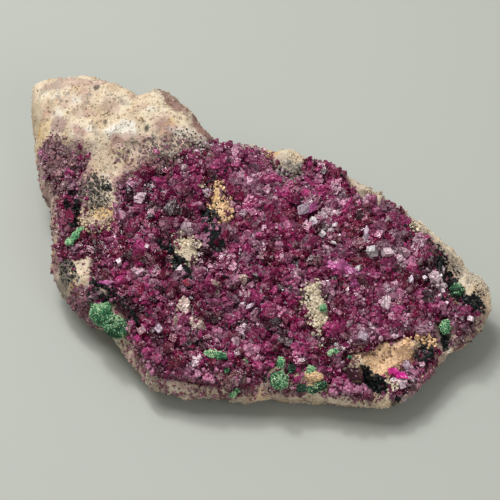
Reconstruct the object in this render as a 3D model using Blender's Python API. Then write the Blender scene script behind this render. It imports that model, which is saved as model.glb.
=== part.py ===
"""A hand specimen of cobaltoan calcite with malachite: a broken piece of tan rock, a crust of
magenta calcite crystals grown over its face, and green balls of malachite sitting on both.

Lengths are in millimetres and become metres when a mesh is made. X runs along the stone, Z is
up, and the origin is on the ground under the middle of the stone.
"""
import math
import random

import bmesh
import bpy
import numpy as np
from mathutils import Euler, Vector
from mathutils.bvhtree import BVHTree
from mathutils.geometry import delaunay_2d_cdt

MM = 0.001
GAP = 0.35                # clear space between pieces that touch
SEED = 4208               # of the points of the face, the crust's facets and the crystals' places
BARE_SEED = 4213          # of the facets of the bare rock
CRYSTAL_SEED = 4210       # of the forms and turns of the crystals

# The stone. Each point of its rim is x, y and the height of its widest line there.
RIM = [
    (-31.5, 23.6, 14.2), (-29.5, 24.5, 14.6), (-27.6, 24.7, 14.9), (-25.5, 24.7, 15.1),
    (-22.8, 24.6, 14.9), (-21.3, 24.0, 14.8), (-20.2, 23.4, 14.3), (-18.3, 22.9, 14.3),
    (-16.5, 21.6, 13.4), (-14.5, 22.8, 13.9), (-13.3, 22.9, 14.1), (-11.7, 22.0, 12.9),
    (-10.8, 21.3, 12.3), (-8.4, 19.0, 11.3), (-6.0, 16.2, 10.4), (-4.2, 14.7, 11.2),
    (-0.3, 14.4, 11.7), (2.2, 13.7, 11.4), (4.8, 13.9, 11.4), (6.6, 12.6, 11.2),
    (9.0, 12.1, 10.8), (11.8, 10.6, 10.3), (14.5, 9.0, 9.8), (17.2, 7.2, 9.4),
    (19.8, 4.8, 9.7), (23.2, 2.2, 8.3), (25.0, 0.4, 7.8), (27.2, -1.8, 7.4),
    (29.4, -4.4, 7.0), (31.2, -7.3, 7.0), (31.5, -9.6, 6.3), (30.6, -11.8, 5.5),
    (28.8, -14.4, 5.0), (25.9, -16.3, 5.0), (24.0, -18.1, 4.5), (21.9, -20.7, 4.5),
    (20.4, -23.1, 4.0), (18.1, -24.7, 4.0), (15.2, -24.5, 3.5), (11.5, -23.9, 3.5),
    (6.9, -23.3, 3.6), (2.3, -22.8, 4.0), (-3.6, -22.9, 3.6), (-8.2, -22.6, 3.5),
    (-11.7, -21.8, 3.5), (-14.0, -21.1, 4.0), (-15.6, -18.8, 4.0), (-18.3, -14.2, 4.5),
    (-20.7, -11.9, 4.5), (-23.6, -9.7, 5.0), (-26.0, -7.0, 5.0), (-27.6, -4.0, 5.5),
    (-28.1, -2.2, 5.5), (-27.6, 0.8, 6.0), (-28.4, 5.0, 6.5), (-28.8, 7.8, 6.5),
    (-30.3, 11.5, 7.5), (-31.1, 15.3, 9.0), (-31.5, 19.8, 11.5),
]
MIDDLE = (-3.5, -4.0)     # every point of the rim is in sight of this one
BASE = [                  # the flat facet that the stone rests on
    (-26.5, 20.0), (-20.0, 19.5), (-12.0, 17.5), (-7.0, 13.0), (-1.0, 11.0), (7.0, 9.0),
    (14.0, 5.0), (19.0, 0.0), (22.0, -5.0), (22.5, -10.0), (20.0, -15.0), (16.0, -20.0),
    (9.0, -20.5), (0.0, -19.8), (-8.0, -19.0), (-13.0, -16.5), (-17.0, -11.0), (-22.0, -6.0),
    (-24.5, -1.0), (-25.0, 6.0), (-26.5, 13.0),
]
FACE_MIDDLE = 9.9         # height of the stone's face over the origin
FACE_RISE = 0.17          # how much it climbs for each millimetre towards the back
FACE_FALL = 0.02          # and how much it drops towards the right
FACE_DOME = 0.9           # how much its middle bulges
DOME_REACH = (32.0, 25.0) # how far from the middle the bulge dies out, along X and Y
ROLL = 2.2                # width over which the face turns down to the rim
ROLL_SHAPE = 2.2          # 1 is a straight bevel, and more is rounder
SIDE_RINGS = (0.3, 0.65)  # shares of the way from the rim down to the base
SIDE_UNDERCUT = 1.5       # 1 is a straight side, and with more the rim overhangs the base
SIDE_LUMPS = 1.2          # how much the side rolls in and out
SIDE_LUMP_SIZE = 9.0
BARE_LUMPS = 0.5          # how much bare rock rolls up and down
BARE_LUMP_SIZE = 5.5
BARE_FACETS = 0.3         # how far each point between its flat facets stands out or in
BARE_BLEND = 1.6          # width of the step from bare rock down to rock under the crust
EDGE_FADE = 1.5           # width over which facets and thickness die out towards an edge
POINT_SPACING = 2.7       # between the points of the face
POINT_SHIFT = 0.4         # how far each is moved from its place in the lattice
POINT_ROWS = 16           # rows of the lattice on each side of the middle
POINT_CLEARANCE = 0.85    # least distance from those points to an outline
SLOPE_STEP = 0.05         # distance over which the slope of the face is measured

# Bumps and pits of the face: centre, half length, half width, turn in degrees, rise.
RELIEF = [
    (-21.0, 18.5, 15.0, 9.0, -12, 2.6),     # the bare hump at the far left
    (-10.5, 16.5, 7.5, 5.0, -40, 1.2),      # its right shoulder
    (-26.0, 9.0, 5.0, 6.0, 0, -0.8),        # the thin crust below the hump
    (18.3, -19.2, 6.5, 4.6, 10, -1.7),      # the bare ledge at the front right
    (15.4, -21.8, 3.2, 1.9, -35, -1.6),     # the black pit in that ledge
    (24.9, -14.2, 1.6, 4.2, 8, -1.7),       # the crevice before the right-hand lump
    (27.4, -13.0, 2.6, 3.4, 20, 0.5),       # that lump
    (3.5, -15.0, 2.6, 2.2, 0, -1.1),        # dark hollow in the crust
    (-6.9, 2.6, 1.5, 4.0, 12, -0.9),        # crevice beside the ochre window
    (-11.6, -5.2, 3.6, 2.0, -30, -1.1),     # crevice below the left-hand window
    (-25.0, 4.6, 1.4, 6.0, 6, -1.0),        # black seam at the left
    (26.6, -6.2, 2.0, 4.4, 28, -1.3),       # hollow of the right-hand ball
]
RELIEF_SHAPE = 1.35                         # over 1, each has a level middle

# The crust of calcite: its outline and the windows where the rock shows through it.
CRUST_EDGE = [
    (-30.2, 13.6), (-28.6, 13.9), (-26.9, 12.4), (-25.1, 12.7), (-23.4, 11.6), (-24.5, 9.5),
    (-24.3, 7.1), (-24.4, 3.9), (-23.9, 0.9), (-22.5, -0.3), (-21.0, 0.4), (-19.3, 2.0),
    (-18.4, 4.2), (-18.9, 6.7), (-18.0, 8.5), (-16.1, 9.8), (-13.4, 11.0), (-10.6, 11.7),
    (-7.9, 12.8), (-5.6, 14.0), (-3.0, 13.9), (-0.5, 13.5), (1.2, 12.4), (2.5, 10.4),
    (4.5, 8.8), (6.0, 9.6), (6.9, 11.3), (8.7, 11.3), (11.3, 10.0), (13.9, 8.4), (16.6, 6.6),
    (19.0, 4.4), (20.6, 2.2), (21.8, 0.6), (23.0, -0.9), (24.2, -2.8), (25.2, -4.8),
    (25.0, -7.4), (25.2, -9.5), (26.2, -10.5), (28.1, -10.8), (29.5, -12.0), (28.3, -13.6),
    (26.9, -14.9), (26.4, -14.2), (26.3, -12.8), (25.2, -12.1), (23.9, -12.4), (23.5, -13.9),
    (23.7, -15.4), (24.2, -16.6), (22.7, -18.4), (21.1, -20.5), (19.8, -22.5), (18.0, -23.7),
    (16.9, -22.5), (17.0, -20.8), (17.9, -19.5), (19.5, -18.6), (20.9, -17.7), (21.9, -15.9),
    (19.6, -15.3), (16.9, -15.8), (14.9, -17.3), (12.7, -17.9), (11.6, -19.6), (12.6, -21.4),
    (14.2, -23.3), (11.4, -23.0), (9.9, -22.3), (9.1, -21.2), (8.6, -20.0), (7.6, -19.1),
    (6.0, -19.1), (4.4, -18.8), (3.0, -18.3), (1.8, -18.9), (1.1, -20.3), (0.9, -21.8),
    (-3.4, -22.0), (-8.0, -21.7), (-11.3, -20.9), (-13.2, -20.2), (-14.8, -18.2),
    (-16.1, -15.8), (-15.9, -13.2), (-17.3, -10.9), (-19.3, -9.0), (-21.8, -8.5),
    (-21.5, -7.0), (-22.1, -5.4), (-21.6, -3.9), (-23.0, -3.4), (-24.4, -4.1),
    (-26.3, -3.7), (-27.1, -2.0), (-26.8, 1.0), (-27.4, 4.6), (-27.9, 7.4), (-29.4, 11.0),
]
WINDOWS = [
    [(-12.0, -1.7), (-10.4, -0.9), (-8.2, -1.3), (-7.7, -3.2), (-8.2, -5.3), (-9.6, -5.2),
     (-10.9, -3.7)],
    [(-6.3, 6.5), (-5.0, 7.0), (-3.9, 4.8), (-3.3, 2.6), (-4.1, 0.9), (-5.5, 1.9), (-6.6, 4.6)],
    [(6.4, -8.1), (8.4, -7.8), (9.4, -10.2), (9.8, -12.7), (8.6, -14.6), (6.7, -14.1),
     (5.7, -12.1), (5.9, -9.9)],
]
CRUST_EDGE_DEPTH = 1.0    # thickness of the crust at its broken edge
CRUST_DEPTH = 1.7         # and away from it
CRUST_SWELL = 0.45        # how much its face rolls up and down
CRUST_SWELL_SIZE = 8.0
CRUST_SWELL_FADE = 2.5    # width over which that dies out towards the edge
CRUST_FACETS = 0.45       # how far each point between its flat facets stands out or in

# The crystals that stand out of the crust. A radius is measured across a crystal's own axis.
CRYSTALS = 155
CRYSTAL_TRIES = 9000      # places that are tried, largest crystals first
SMALLEST, LARGEST = 0.85, 1.5
SIZE_FALL = 0.45          # below 1, the radius falls fast at first, so that most crystals are small
CRYSTAL_SPACING = 0.82    # least distance of two centres, as a share of the sum of their radii
CRYSTAL_SINK = 0.15       # how far a centre lies under the crust's face, as a share of the radius
CRYSTAL_TILT = 50.0       # most that an axis leans, in degrees
CRYSTAL_FOOT = 0.75       # least height of a crystal over the rock, inside the crust
FOOT_STEPS = 5            # places along each corner's foot where the rock is measured
EDGE_ROOM = 0.35          # least distance of a crystal's centre from an edge
EDGE_ROOM_SHARE = 0.45    # and this share of its radius more
CRYSTAL_FORMS = {         # half height, and how far the side corners stand up and down, of that
    "block": (0.95, 0.33),
    "flat": (0.74, 0.33),
    "tooth": (1.7, 0.12),
}
FORM_MIX = ["block", "block", "flat", "tooth"]

# Malachite: what it sits on, and lumps of x, y, half length, half width, half height, turn.
MALACHITE = {
    "malachite_big": ("rock", [(-19.5, -12.2, 3.05, 1.75, 1.85, -46)]),
    "malachite_pale": ("crust", [(-24.5, -1.6, 1.45, 0.6, 0.6, 55)]),
    "malachite_streak": ("crust", [(-5.4, -19.1, 1.85, 0.75, 0.5, -12)]),
    "malachite_cluster": ("rock", [
        (3.0, -21.9, 1.35, 1.35, 1.35, 0), (3.1, -20.0, 0.95, 1.0, 1.15, 0),
        (4.3, -20.5, 0.8, 1.25, 0.95, 0)]),
    "malachite_knob": ("rock", [(7.0, -20.7, 0.95, 0.8, 0.85, 20)]),
    "malachite_band": ("rock", [(6.8, -22.4, 2.1, 0.8, 0.95, 8)]),
    "malachite_speck": ("crust", [(10.0, -18.9, 0.95, 0.9, 0.7, 0)]),
    "malachite_bead": ("rock", [(8.5, -11.6, 0.62, 0.58, 0.6, 0)]),
    "malachite_ball": ("rock", [(26.8, -8.4, 1.1, 1.1, 1.15, 0)]),
    "malachite_oval": ("rock", [(25.0, -14.0, 0.85, 1.35, 1.05, -12)]),
}
SEAT_ROOM = 0.25          # more clear space under a lump, because its seat is made of flat triangles
KNOB_DEPTH = 0.09         # how far the small knobs of a lump stand out, as a share of its radius
KNOB_SIZE = 1.9
KNOB_STRETCH = 2.2
BIG_LUMP = 1.6            # lumps over this half length get a finer mesh
LUMP_LIFT = 0.55          # height of a lump's middle over its seat, as a share of its half height
FOOT_DISH = 0.02          # how much the cut foot of a lump keeps of its roundness
SKY = 99.0                # a height over everything, from which a surface is felt for

COLOURS = {               # colour, roughness
    "host_rock": ((0.52, 0.42, 0.30), 0.9),
    "cobalt_calcite": ((0.30, 0.04, 0.16), 0.25),
    "malachite": ((0.03, 0.30, 0.15), 0.75),
}


def remove_everything():
    for thing in list(bpy.data.objects):
        bpy.data.objects.remove(thing, do_unlink=True)


def material(name):
    """A plain stand-in finish in the mineral's own colour."""
    colour, roughness = COLOURS[name]
    finish = bpy.data.materials.get(name) or bpy.data.materials.new(name)
    finish.use_nodes = True
    shader = finish.node_tree.nodes["Principled BSDF"]
    shader.inputs["Base Color"].default_value = (*colour, 1.0)
    shader.inputs["Roughness"].default_value = roughness
    shader.inputs["Metallic"].default_value = 0.0
    return finish


def solid(name, points, faces, finish):
    """One object from points in millimetres, with its faces turned outwards."""
    mesh = bpy.data.meshes.new(name)
    mesh.from_pydata((np.asarray(points) * MM).tolist(), [], faces)
    shape = bmesh.new()
    shape.from_mesh(mesh)
    bmesh.ops.recalc_face_normals(shape, faces=shape.faces)
    shape.to_mesh(mesh)
    shape.free()
    mesh.materials.append(material(finish))
    thing = bpy.data.objects.new(name, mesh)
    bpy.context.scene.collection.objects.link(thing)
    return thing


def ease(share):
    """An S-shaped step: 0 below 0, 1 above 1, level at both ends."""
    share = np.clip(share, 0.0, 1.0)
    return share * share * (3.0 - 2.0 * share)


def lumps(x, y, size, shift=0.0):
    """Rolling lumps about one size across, from -1 to 1: three waves, each bent by another."""
    a = 2.0 * math.pi * np.asarray(x, float) / size
    b = 2.0 * math.pi * np.asarray(y, float) / size
    first = np.sin(a + 1.3 * np.sin(0.7 * b + shift))
    second = np.sin(0.8 * b - 1.1 * np.sin(0.9 * a + 2.0 * shift) + 2.0)
    third = np.sin(0.6 * a + 0.7 * b + 1.7 * np.sin(0.5 * b - 0.4 * a + shift))
    return (first + second + third) / 3.0


def edge_distance(x, y, outline):
    """Distance to an outline, and where on it the nearest point is: edge number and share along it."""
    start = np.asarray(outline, float)[:, :2]
    run = np.roll(start, -1, axis=0) - start
    x = np.asarray(x, float)[:, None]
    y = np.asarray(y, float)[:, None]
    along = ((x - start[:, 0]) * run[:, 0] + (y - start[:, 1]) * run[:, 1]) / (run ** 2).sum(axis=1)
    along = np.clip(along, 0.0, 1.0)
    gap = np.hypot(start[:, 0] + along * run[:, 0] - x, start[:, 1] + along * run[:, 1] - y)
    nearest = gap.argmin(axis=1)
    row = np.arange(len(gap))
    return gap[row, nearest], nearest, along[row, nearest]


def inside(x, y, outline):
    """True where a point is inside an outline: a line from it to +X crosses the outline an odd
    number of times."""
    start = np.asarray(outline, float)[:, :2]
    run = np.roll(start, -1, axis=0) - start
    x = np.asarray(x, float)[:, None]
    y = np.asarray(y, float)[:, None]
    spans = (start[:, 1] > y) != (start[:, 1] + run[:, 1] > y)
    with np.errstate(divide="ignore", invalid="ignore"):
        crossing = start[:, 0] + (y - start[:, 1]) * run[:, 0] / run[:, 1]
    return (spans & (x < crossing)).sum(axis=1) % 2 == 1


def crust_cover(x, y):
    """How far inside the crust a point is in millimetres, negative outside it or in a window."""
    gap = edge_distance(x, y, CRUST_EDGE)[0]
    depth = np.where(inside(x, y, CRUST_EDGE), gap, -gap)
    for window in WINDOWS:
        gap = edge_distance(x, y, window)[0]
        depth = np.minimum(depth, np.where(inside(x, y, window), -gap, gap))
    return depth


def relief(x, y):
    """The named bumps and pits: each is an ellipse that fades out at its edge."""
    rise = np.zeros_like(x)
    for centre_x, centre_y, length, width, turn, height in RELIEF:
        turn = math.radians(turn)
        along = (x - centre_x) * math.cos(turn) + (y - centre_y) * math.sin(turn)
        across = (y - centre_y) * math.cos(turn) - (x - centre_x) * math.sin(turn)
        rise += height * ease(RELIEF_SHAPE * (1.0 - np.hypot(along / length, across / width)))
    return rise


def rock_top(x, y):
    """Height of the rock's face: a tilted dome with its bumps and pits, lower under the crust, and
    turned down to the rim round the edge."""
    x = np.asarray(x, float)
    y = np.asarray(y, float)
    dome = FACE_DOME * (1.0 - (x / DOME_REACH[0]) ** 2) * (1.0 - (y / DOME_REACH[1]) ** 2)
    face = FACE_MIDDLE + FACE_RISE * y - FACE_FALL * x + dome + relief(x, y)
    bare = 1.0 - ease(0.5 + crust_cover(x, y) / BARE_BLEND)
    face = face - CRUST_DEPTH * (1.0 - bare) + BARE_LUMPS * bare * lumps(x, y, BARE_LUMP_SIZE, 1.0)
    gap, edge, along = edge_distance(x, y, RIM)
    girdle = np.array([point[2] for point in RIM])
    girdle = girdle[edge] * (1.0 - along) + np.roll(girdle, -1)[edge] * along
    roll = 1.0 - (1.0 - np.clip(gap / ROLL, 0.0, 1.0)) ** ROLL_SHAPE
    return girdle + (face - girdle) * roll


def crust_top(x, y):
    """Height of the crust between its crystals."""
    cover = crust_cover(x, y)
    depth = CRUST_EDGE_DEPTH + (CRUST_DEPTH - CRUST_EDGE_DEPTH) * ease(cover / EDGE_FADE)
    swell = CRUST_SWELL * lumps(x, y, CRUST_SWELL_SIZE, 2.5) * ease(cover / CRUST_SWELL_FADE)
    return rock_top(x, y) + GAP + depth + swell


def surface_height(plan, height, triangles):
    """A function that gives the height of a surface of flat triangles at places in plan, as a list."""
    tree = BVHTree.FromPolygons(np.column_stack([plan, height]).tolist(), triangles.tolist())

    def at(x, y):
        down = Vector((0.0, 0.0, -1.0))
        found = [tree.ray_cast(Vector((*place, SKY)), down)[0] for place in zip(x, y)]
        return np.array([place.z if place else 0.0 for place in found])

    return at


def face_points(outlines):
    """Points over the face: a lattice of triangles, each point moved a little, none near an outline."""
    shuffle = random.Random(SEED)
    points = []
    row_height = POINT_SPACING * math.sqrt(3.0) / 2.0
    for row in range(-POINT_ROWS, POINT_ROWS + 1):
        for column in range(-POINT_ROWS, POINT_ROWS + 1):
            x = (column + 0.5 * (row % 2)) * POINT_SPACING + shuffle.uniform(-POINT_SHIFT, POINT_SHIFT)
            y = row * row_height + shuffle.uniform(-POINT_SHIFT, POINT_SHIFT)
            points.append((x, y))
    points = np.array(points)
    points = points[inside(points[:, 0], points[:, 1], RIM)]
    for outline in outlines:
        points = points[edge_distance(points[:, 0], points[:, 1], outline)[0] > POINT_CLEARANCE]
    return points


def face_triangles():
    """One set of triangles over the whole face, whose edges follow every outline on it. The rock and
    the crust share it, so the two keep an even gap."""
    outlines = [[point[:2] for point in RIM], CRUST_EDGE, *WINDOWS]
    points = []
    edges = []
    for outline in outlines:
        first = len(points)
        points += outline
        count = len(outline)
        edges += [(first + step, first + (step + 1) % count) for step in range(count)]
    points += face_points(outlines).tolist()
    found = delaunay_2d_cdt([Vector(point) for point in points], edges, [], 0, 1e-4)
    plan = np.array([tuple(point) for point in found[0]])
    triangles = np.array([tuple(face) for face in found[2]])
    centre = plan[triangles].mean(axis=1)
    triangles = triangles[inside(centre[:, 0], centre[:, 1], RIM)]
    rim = [next(new for new, old in enumerate(found[3]) if step in old) for step in range(len(RIM))]
    return plan, triangles, rim


def side_ring(share):
    """The stone's side at one share of the way down: from the rim in to the base, with lumps."""
    rim = np.array(RIM)
    angle = np.arctan2(rim[:, 1] - MIDDLE[1], rim[:, 0] - MIDDLE[0])
    radius = np.hypot(rim[:, 0] - MIDDLE[0], rim[:, 1] - MIDDLE[1])
    base = (np.array(BASE) - MIDDLE)[::-1]
    base_angle = np.arctan2(base[:, 1], base[:, 0])
    base_radius = np.hypot(base[:, 0], base[:, 1])
    base_radius = np.interp(angle, base_angle, base_radius, period=2.0 * math.pi)
    bulge = lumps(radius * angle, SIDE_LUMP_SIZE * share, SIDE_LUMP_SIZE)
    bulge *= SIDE_LUMPS * math.sin(math.pi * share)
    radius = radius + (base_radius - radius) * share ** SIDE_UNDERCUT + bulge
    x = MIDDLE[0] + radius * np.cos(angle)
    y = MIDDLE[1] + radius * np.sin(angle)
    return np.column_stack([x, y, rim[:, 2] * (1.0 - share)])


def rock_heights(plan):
    """The rock's face at the points of the triangles, broken into flat facets where it is bare."""
    x, y = plan.T
    facets = np.random.default_rng(BARE_SEED).uniform(-BARE_FACETS, BARE_FACETS, len(plan))
    bare = ease(-crust_cover(x, y) / EDGE_FADE) * ease(edge_distance(x, y, RIM)[0] / EDGE_FADE)
    return rock_top(x, y) + facets * bare


def rock_slope(x, y):
    """How steep the rock's face is: its rise for each millimetre in plan."""
    run = SLOPE_STEP
    along = rock_top(x + run, y) - rock_top(x - run, y)
    across = rock_top(x, y + run) - rock_top(x, y - run)
    return np.hypot(along, across) / (2.0 * run)


def malachite_lumps(hosts):
    """Every lump of malachite that sits on one of these."""
    return [lump for host, group in MALACHITE.values() if host in hosts for lump in group]


def only_used(points, faces):
    """The points that the faces use, and the faces with their corners numbered again."""
    used = sorted({int(corner) for face in faces for corner in face})
    place = {old: new for new, old in enumerate(used)}
    return points[used], [[place[int(corner)] for corner in face] for face in faces]


def make_matrix(plan, heights, triangles, rim):
    """The host rock: its face, its side in rings under the rim, and the flat base."""
    points = np.column_stack([plan, heights])
    faces = triangles.tolist()
    above = rim
    count = len(rim)
    for share in (*SIDE_RINGS, 1.0):
        below = list(range(len(points), len(points) + count))
        points = np.vstack([points, side_ring(share)])
        for step in range(count):
            after = (step + 1) % count
            faces.append((above[step], above[after], below[step]))
            faces.append((above[after], below[after], below[step]))
        above = below
    centre = len(points)
    points = np.vstack([points, (*MIDDLE, 0.0)])
    faces += [(centre, above[step], above[(step + 1) % count]) for step in range(count)]
    return solid("matrix", *only_used(points, faces), "host_rock")


def make_crust(plan, triangles):
    """The bed of the crust: the same triangles, raised clear of the rock, with a top, a bottom and a
    wall round its outline and round every window."""
    centre = plan[triangles].mean(axis=1)
    covered = inside(centre[:, 0], centre[:, 1], CRUST_EDGE)
    for window in WINDOWS:
        covered &= ~inside(centre[:, 0], centre[:, 1], window)
    triangles = triangles[covered]
    x, y = plan.T
    clearance = GAP * np.clip(np.hypot(1.0, rock_slope(x, y)), 1.0, 2.0)
    bottom = np.column_stack([plan, rock_top(x, y) + clearance])
    facets = np.random.default_rng(SEED).uniform(-CRUST_FACETS, CRUST_FACETS, len(plan))
    facets *= ease(crust_cover(x, y) / EDGE_FADE)
    for lump in malachite_lumps(["crust"]):
        level = lump[2] + POINT_SPACING - 1.0
        facets *= ease(np.hypot(x - lump[0], y - lump[1]) - level)
    top = crust_top(x, y) + facets
    top = np.column_stack([plan, np.maximum(top, bottom[:, 2] + CRUST_EDGE_DEPTH)])
    count = len(plan)
    faces = [tuple(face + count) for face in triangles] + [tuple(face[::-1]) for face in triangles]
    edges = {(face[i], face[(i + 1) % 3]) for face in triangles.tolist() for i in range(3)}
    for start, end in sorted(edges):
        if (end, start) not in edges:
            faces += [(start, end, end + count), (start, end + count, start + count)]
    crust = solid("calcite_crust", *only_used(np.vstack([bottom, top]), faces), "cobalt_calcite")
    return crust, surface_height(plan, top[:, 2], triangles)


def crystal_corners(form):
    """Corners of one calcite crystal of radius 1, its axis upright. A block is a rhombohedron, three
    faces up and three down; a tooth is six long faces up and six down."""
    half_height, zigzag = CRYSTAL_FORMS[form]
    corners = [(0.0, 0.0, half_height), (0.0, 0.0, -half_height)]
    for side in range(6):
        angle = math.pi * side / 3.0
        height = half_height * zigzag * (1.0 if side % 2 else -1.0)
        corners.append((math.cos(angle), math.sin(angle), height))
    return [Vector(corner) for corner in corners]


def crystal_sites():
    """Places for the crystals: large ones first, each far enough from the last and from any edge."""
    shuffle = np.random.default_rng(SEED)
    x = shuffle.uniform(-31.0, 31.0, CRYSTAL_TRIES)
    y = shuffle.uniform(-24.0, 24.0, CRYSTAL_TRIES)
    radius = LARGEST - (LARGEST - SMALLEST) * np.linspace(0.0, 1.0, CRYSTAL_TRIES) ** SIZE_FALL
    room = EDGE_ROOM + EDGE_ROOM_SHARE * radius
    free = (crust_cover(x, y) > room) & (edge_distance(x, y, RIM)[0] > room + EDGE_ROOM)
    for lump in malachite_lumps(["rock", "crust"]):
        free &= np.hypot(x - lump[0], y - lump[1]) > lump[2] + radius + GAP
    sites = []
    for place in zip(x[free], y[free], radius[free]):
        near = (math.dist(place[:2], other[:2]) / (place[2] + other[2]) for other in sites)
        if min(near, default=1.0) > CRYSTAL_SPACING:
            sites.append(place)
    return sites[:CRYSTALS]


def add_crystals(crust, rock_height):
    """Blocks and teeth of calcite, each the hull of its corners with its foot cut off inside the
    crust, all joined to the crust in one solid."""
    shuffle = random.Random(CRYSTAL_SEED)
    tilt = math.radians(CRYSTAL_TILT)
    cluster = bmesh.new()
    for x, y, radius in crystal_sites():
        form = shuffle.choice(FORM_MIX)
        lean = (shuffle.uniform(-tilt, tilt), shuffle.uniform(-tilt, tilt))
        turn = Euler((*lean, shuffle.uniform(0.0, 2.0 * math.pi)))
        centre = Vector((x, y, crust_top([x], [y])[0] - CRYSTAL_SINK * radius))
        corners = []
        for corner in crystal_corners(form):
            corner.rotate(turn)
            corner = centre + corner * radius
            line_x = np.linspace(x, corner.x, FOOT_STEPS)
            line_y = np.linspace(y, corner.y, FOOT_STEPS)
            corner.z = max(corner.z, rock_height(line_x, line_y).max() + CRYSTAL_FOOT)
            corners.append(cluster.verts.new(corner * MM))
        bmesh.ops.convex_hull(cluster, input=corners)
    loose = [corner for corner in cluster.verts if not corner.link_faces]
    bmesh.ops.delete(cluster, geom=loose, context="VERTS")
    mesh = bpy.data.meshes.new("crystals")
    bmesh.ops.recalc_face_normals(cluster, faces=cluster.faces)
    cluster.to_mesh(mesh)
    cluster.free()
    mesh.materials.append(material("cobalt_calcite"))
    crystals = bpy.data.objects.new("crystals", mesh)
    bpy.context.scene.collection.objects.link(crystals)
    crystals.hide_render = True
    crystals.display_type = "WIRE"
    join = crust.modifiers.new("crystals", "BOOLEAN")
    join.operation = "UNION"
    join.object = crystals
    join.solver = "EXACT"
    join.use_self = True


def lump_surface(lump, seat):
    """A velvety lump: a ball pulled to its three half sizes, with low knobs, and a foot that
    follows what it sits on."""
    x, y, length, width, height, turn = lump
    shape = bmesh.new()
    bmesh.ops.create_icosphere(shape, subdivisions=3 if length > BIG_LUMP else 2, radius=1.0)
    ball = np.array([tuple(point.co) for point in shape.verts])
    faces = [[corner.index for corner in face.verts] for face in shape.faces]
    shape.free()
    knob_x = KNOB_STRETCH * ball[:, 0] + ball[:, 2]
    knob_y = KNOB_STRETCH * ball[:, 1] - ball[:, 2]
    knobs = lumps(knob_x, knob_y, KNOB_SIZE, x)
    reach = (1.0 + KNOB_DEPTH * knobs) / (1.0 + KNOB_DEPTH)
    ball = ball * reach[:, None] * (length, width, height)
    turn = math.radians(turn)
    plan_x = x + ball[:, 0] * math.cos(turn) - ball[:, 1] * math.sin(turn)
    plan_y = y + ball[:, 0] * math.sin(turn) + ball[:, 1] * math.cos(turn)
    centre = seat([x], [y])[0] + GAP + LUMP_LIFT * height
    foot = seat(plan_x, plan_y) + GAP + SEAT_ROOM + FOOT_DISH * (ball[:, 2] + height)
    return np.column_stack([plan_x, plan_y, np.maximum(centre + ball[:, 2], foot)]), faces


def make_malachite(name, group, seat):
    """One growth of malachite: its first lump, joined to any others."""
    growth = None
    for number, lump in enumerate(group):
        points, faces = lump_surface(lump, seat)
        thing = solid(name if number == 0 else f"{name}_lobe_{number}", points, faces, "malachite")
        thing.data.shade_smooth()
        if number == 0:
            growth = thing
            continue
        thing.hide_render = True
        thing.display_type = "WIRE"
        join = growth.modifiers.new(f"lobe_{number}", "BOOLEAN")
        join.operation = "UNION"
        join.object = thing
        join.solver = "EXACT"


remove_everything()
face_plan, face_faces, rim_points = face_triangles()
face_heights = rock_heights(face_plan)
rock_height = surface_height(face_plan, face_heights, face_faces)
make_matrix(face_plan, face_heights, face_faces, rim_points)
crust_object, crust_height = make_crust(face_plan, face_faces)
add_crystals(crust_object, rock_height)
for growth_name, (growth_host, growth_lumps) in MALACHITE.items():
    make_malachite(growth_name, growth_lumps, rock_height if growth_host == "rock" else crust_height)
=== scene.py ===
import math
import random

import bpy
import numpy as np
from mathutils import Euler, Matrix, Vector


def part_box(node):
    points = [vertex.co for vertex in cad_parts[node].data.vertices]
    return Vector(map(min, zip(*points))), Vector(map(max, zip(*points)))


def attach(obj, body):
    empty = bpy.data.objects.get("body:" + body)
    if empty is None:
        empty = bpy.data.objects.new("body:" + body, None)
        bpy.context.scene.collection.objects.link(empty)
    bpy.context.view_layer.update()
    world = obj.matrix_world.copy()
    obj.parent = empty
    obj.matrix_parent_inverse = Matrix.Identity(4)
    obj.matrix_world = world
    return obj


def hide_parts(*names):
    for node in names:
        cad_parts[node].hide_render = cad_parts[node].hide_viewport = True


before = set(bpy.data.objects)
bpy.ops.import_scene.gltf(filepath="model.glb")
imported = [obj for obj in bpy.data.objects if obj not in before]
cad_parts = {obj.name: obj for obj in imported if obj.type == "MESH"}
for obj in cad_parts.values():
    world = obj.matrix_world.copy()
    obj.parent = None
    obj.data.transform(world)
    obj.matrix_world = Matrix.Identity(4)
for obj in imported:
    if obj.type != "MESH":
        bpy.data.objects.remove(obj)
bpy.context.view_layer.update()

# A hand specimen of cobaltoan calcite with malachite. Lengths are in millimetres until a mesh is
# made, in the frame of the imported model: X along the stone, Z up, and Y away from the viewer.
MM = 0.001


# The view.
# The camera looks down on the crystals from the front, from far enough away that the stone keeps
# the flat look of a close-up made with a long lens.
VIEW_ELEVATION = math.radians(50.0)
VIEW_DISTANCE = 330.0
VIEW_TARGET = (-0.95, -2.9, 10.0)
VIEW_WIDTH = 67.5         # width of the picture at the target

camera_data = bpy.data.cameras.new("camera")
camera_data.lens = camera_data.sensor_width * VIEW_DISTANCE / VIEW_WIDTH
camera_data.clip_start = 0.01
camera = bpy.data.objects.new("camera", camera_data)
camera.location = (
    VIEW_TARGET[0] * MM,
    (VIEW_TARGET[1] - VIEW_DISTANCE * math.cos(VIEW_ELEVATION)) * MM,
    (VIEW_TARGET[2] + VIEW_DISTANCE * math.sin(VIEW_ELEVATION)) * MM,
)
camera.rotation_euler = (math.pi / 2.0 - VIEW_ELEVATION, 0.0, 0.0)
bpy.context.scene.collection.objects.link(camera)
bpy.context.scene.camera = camera


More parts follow.
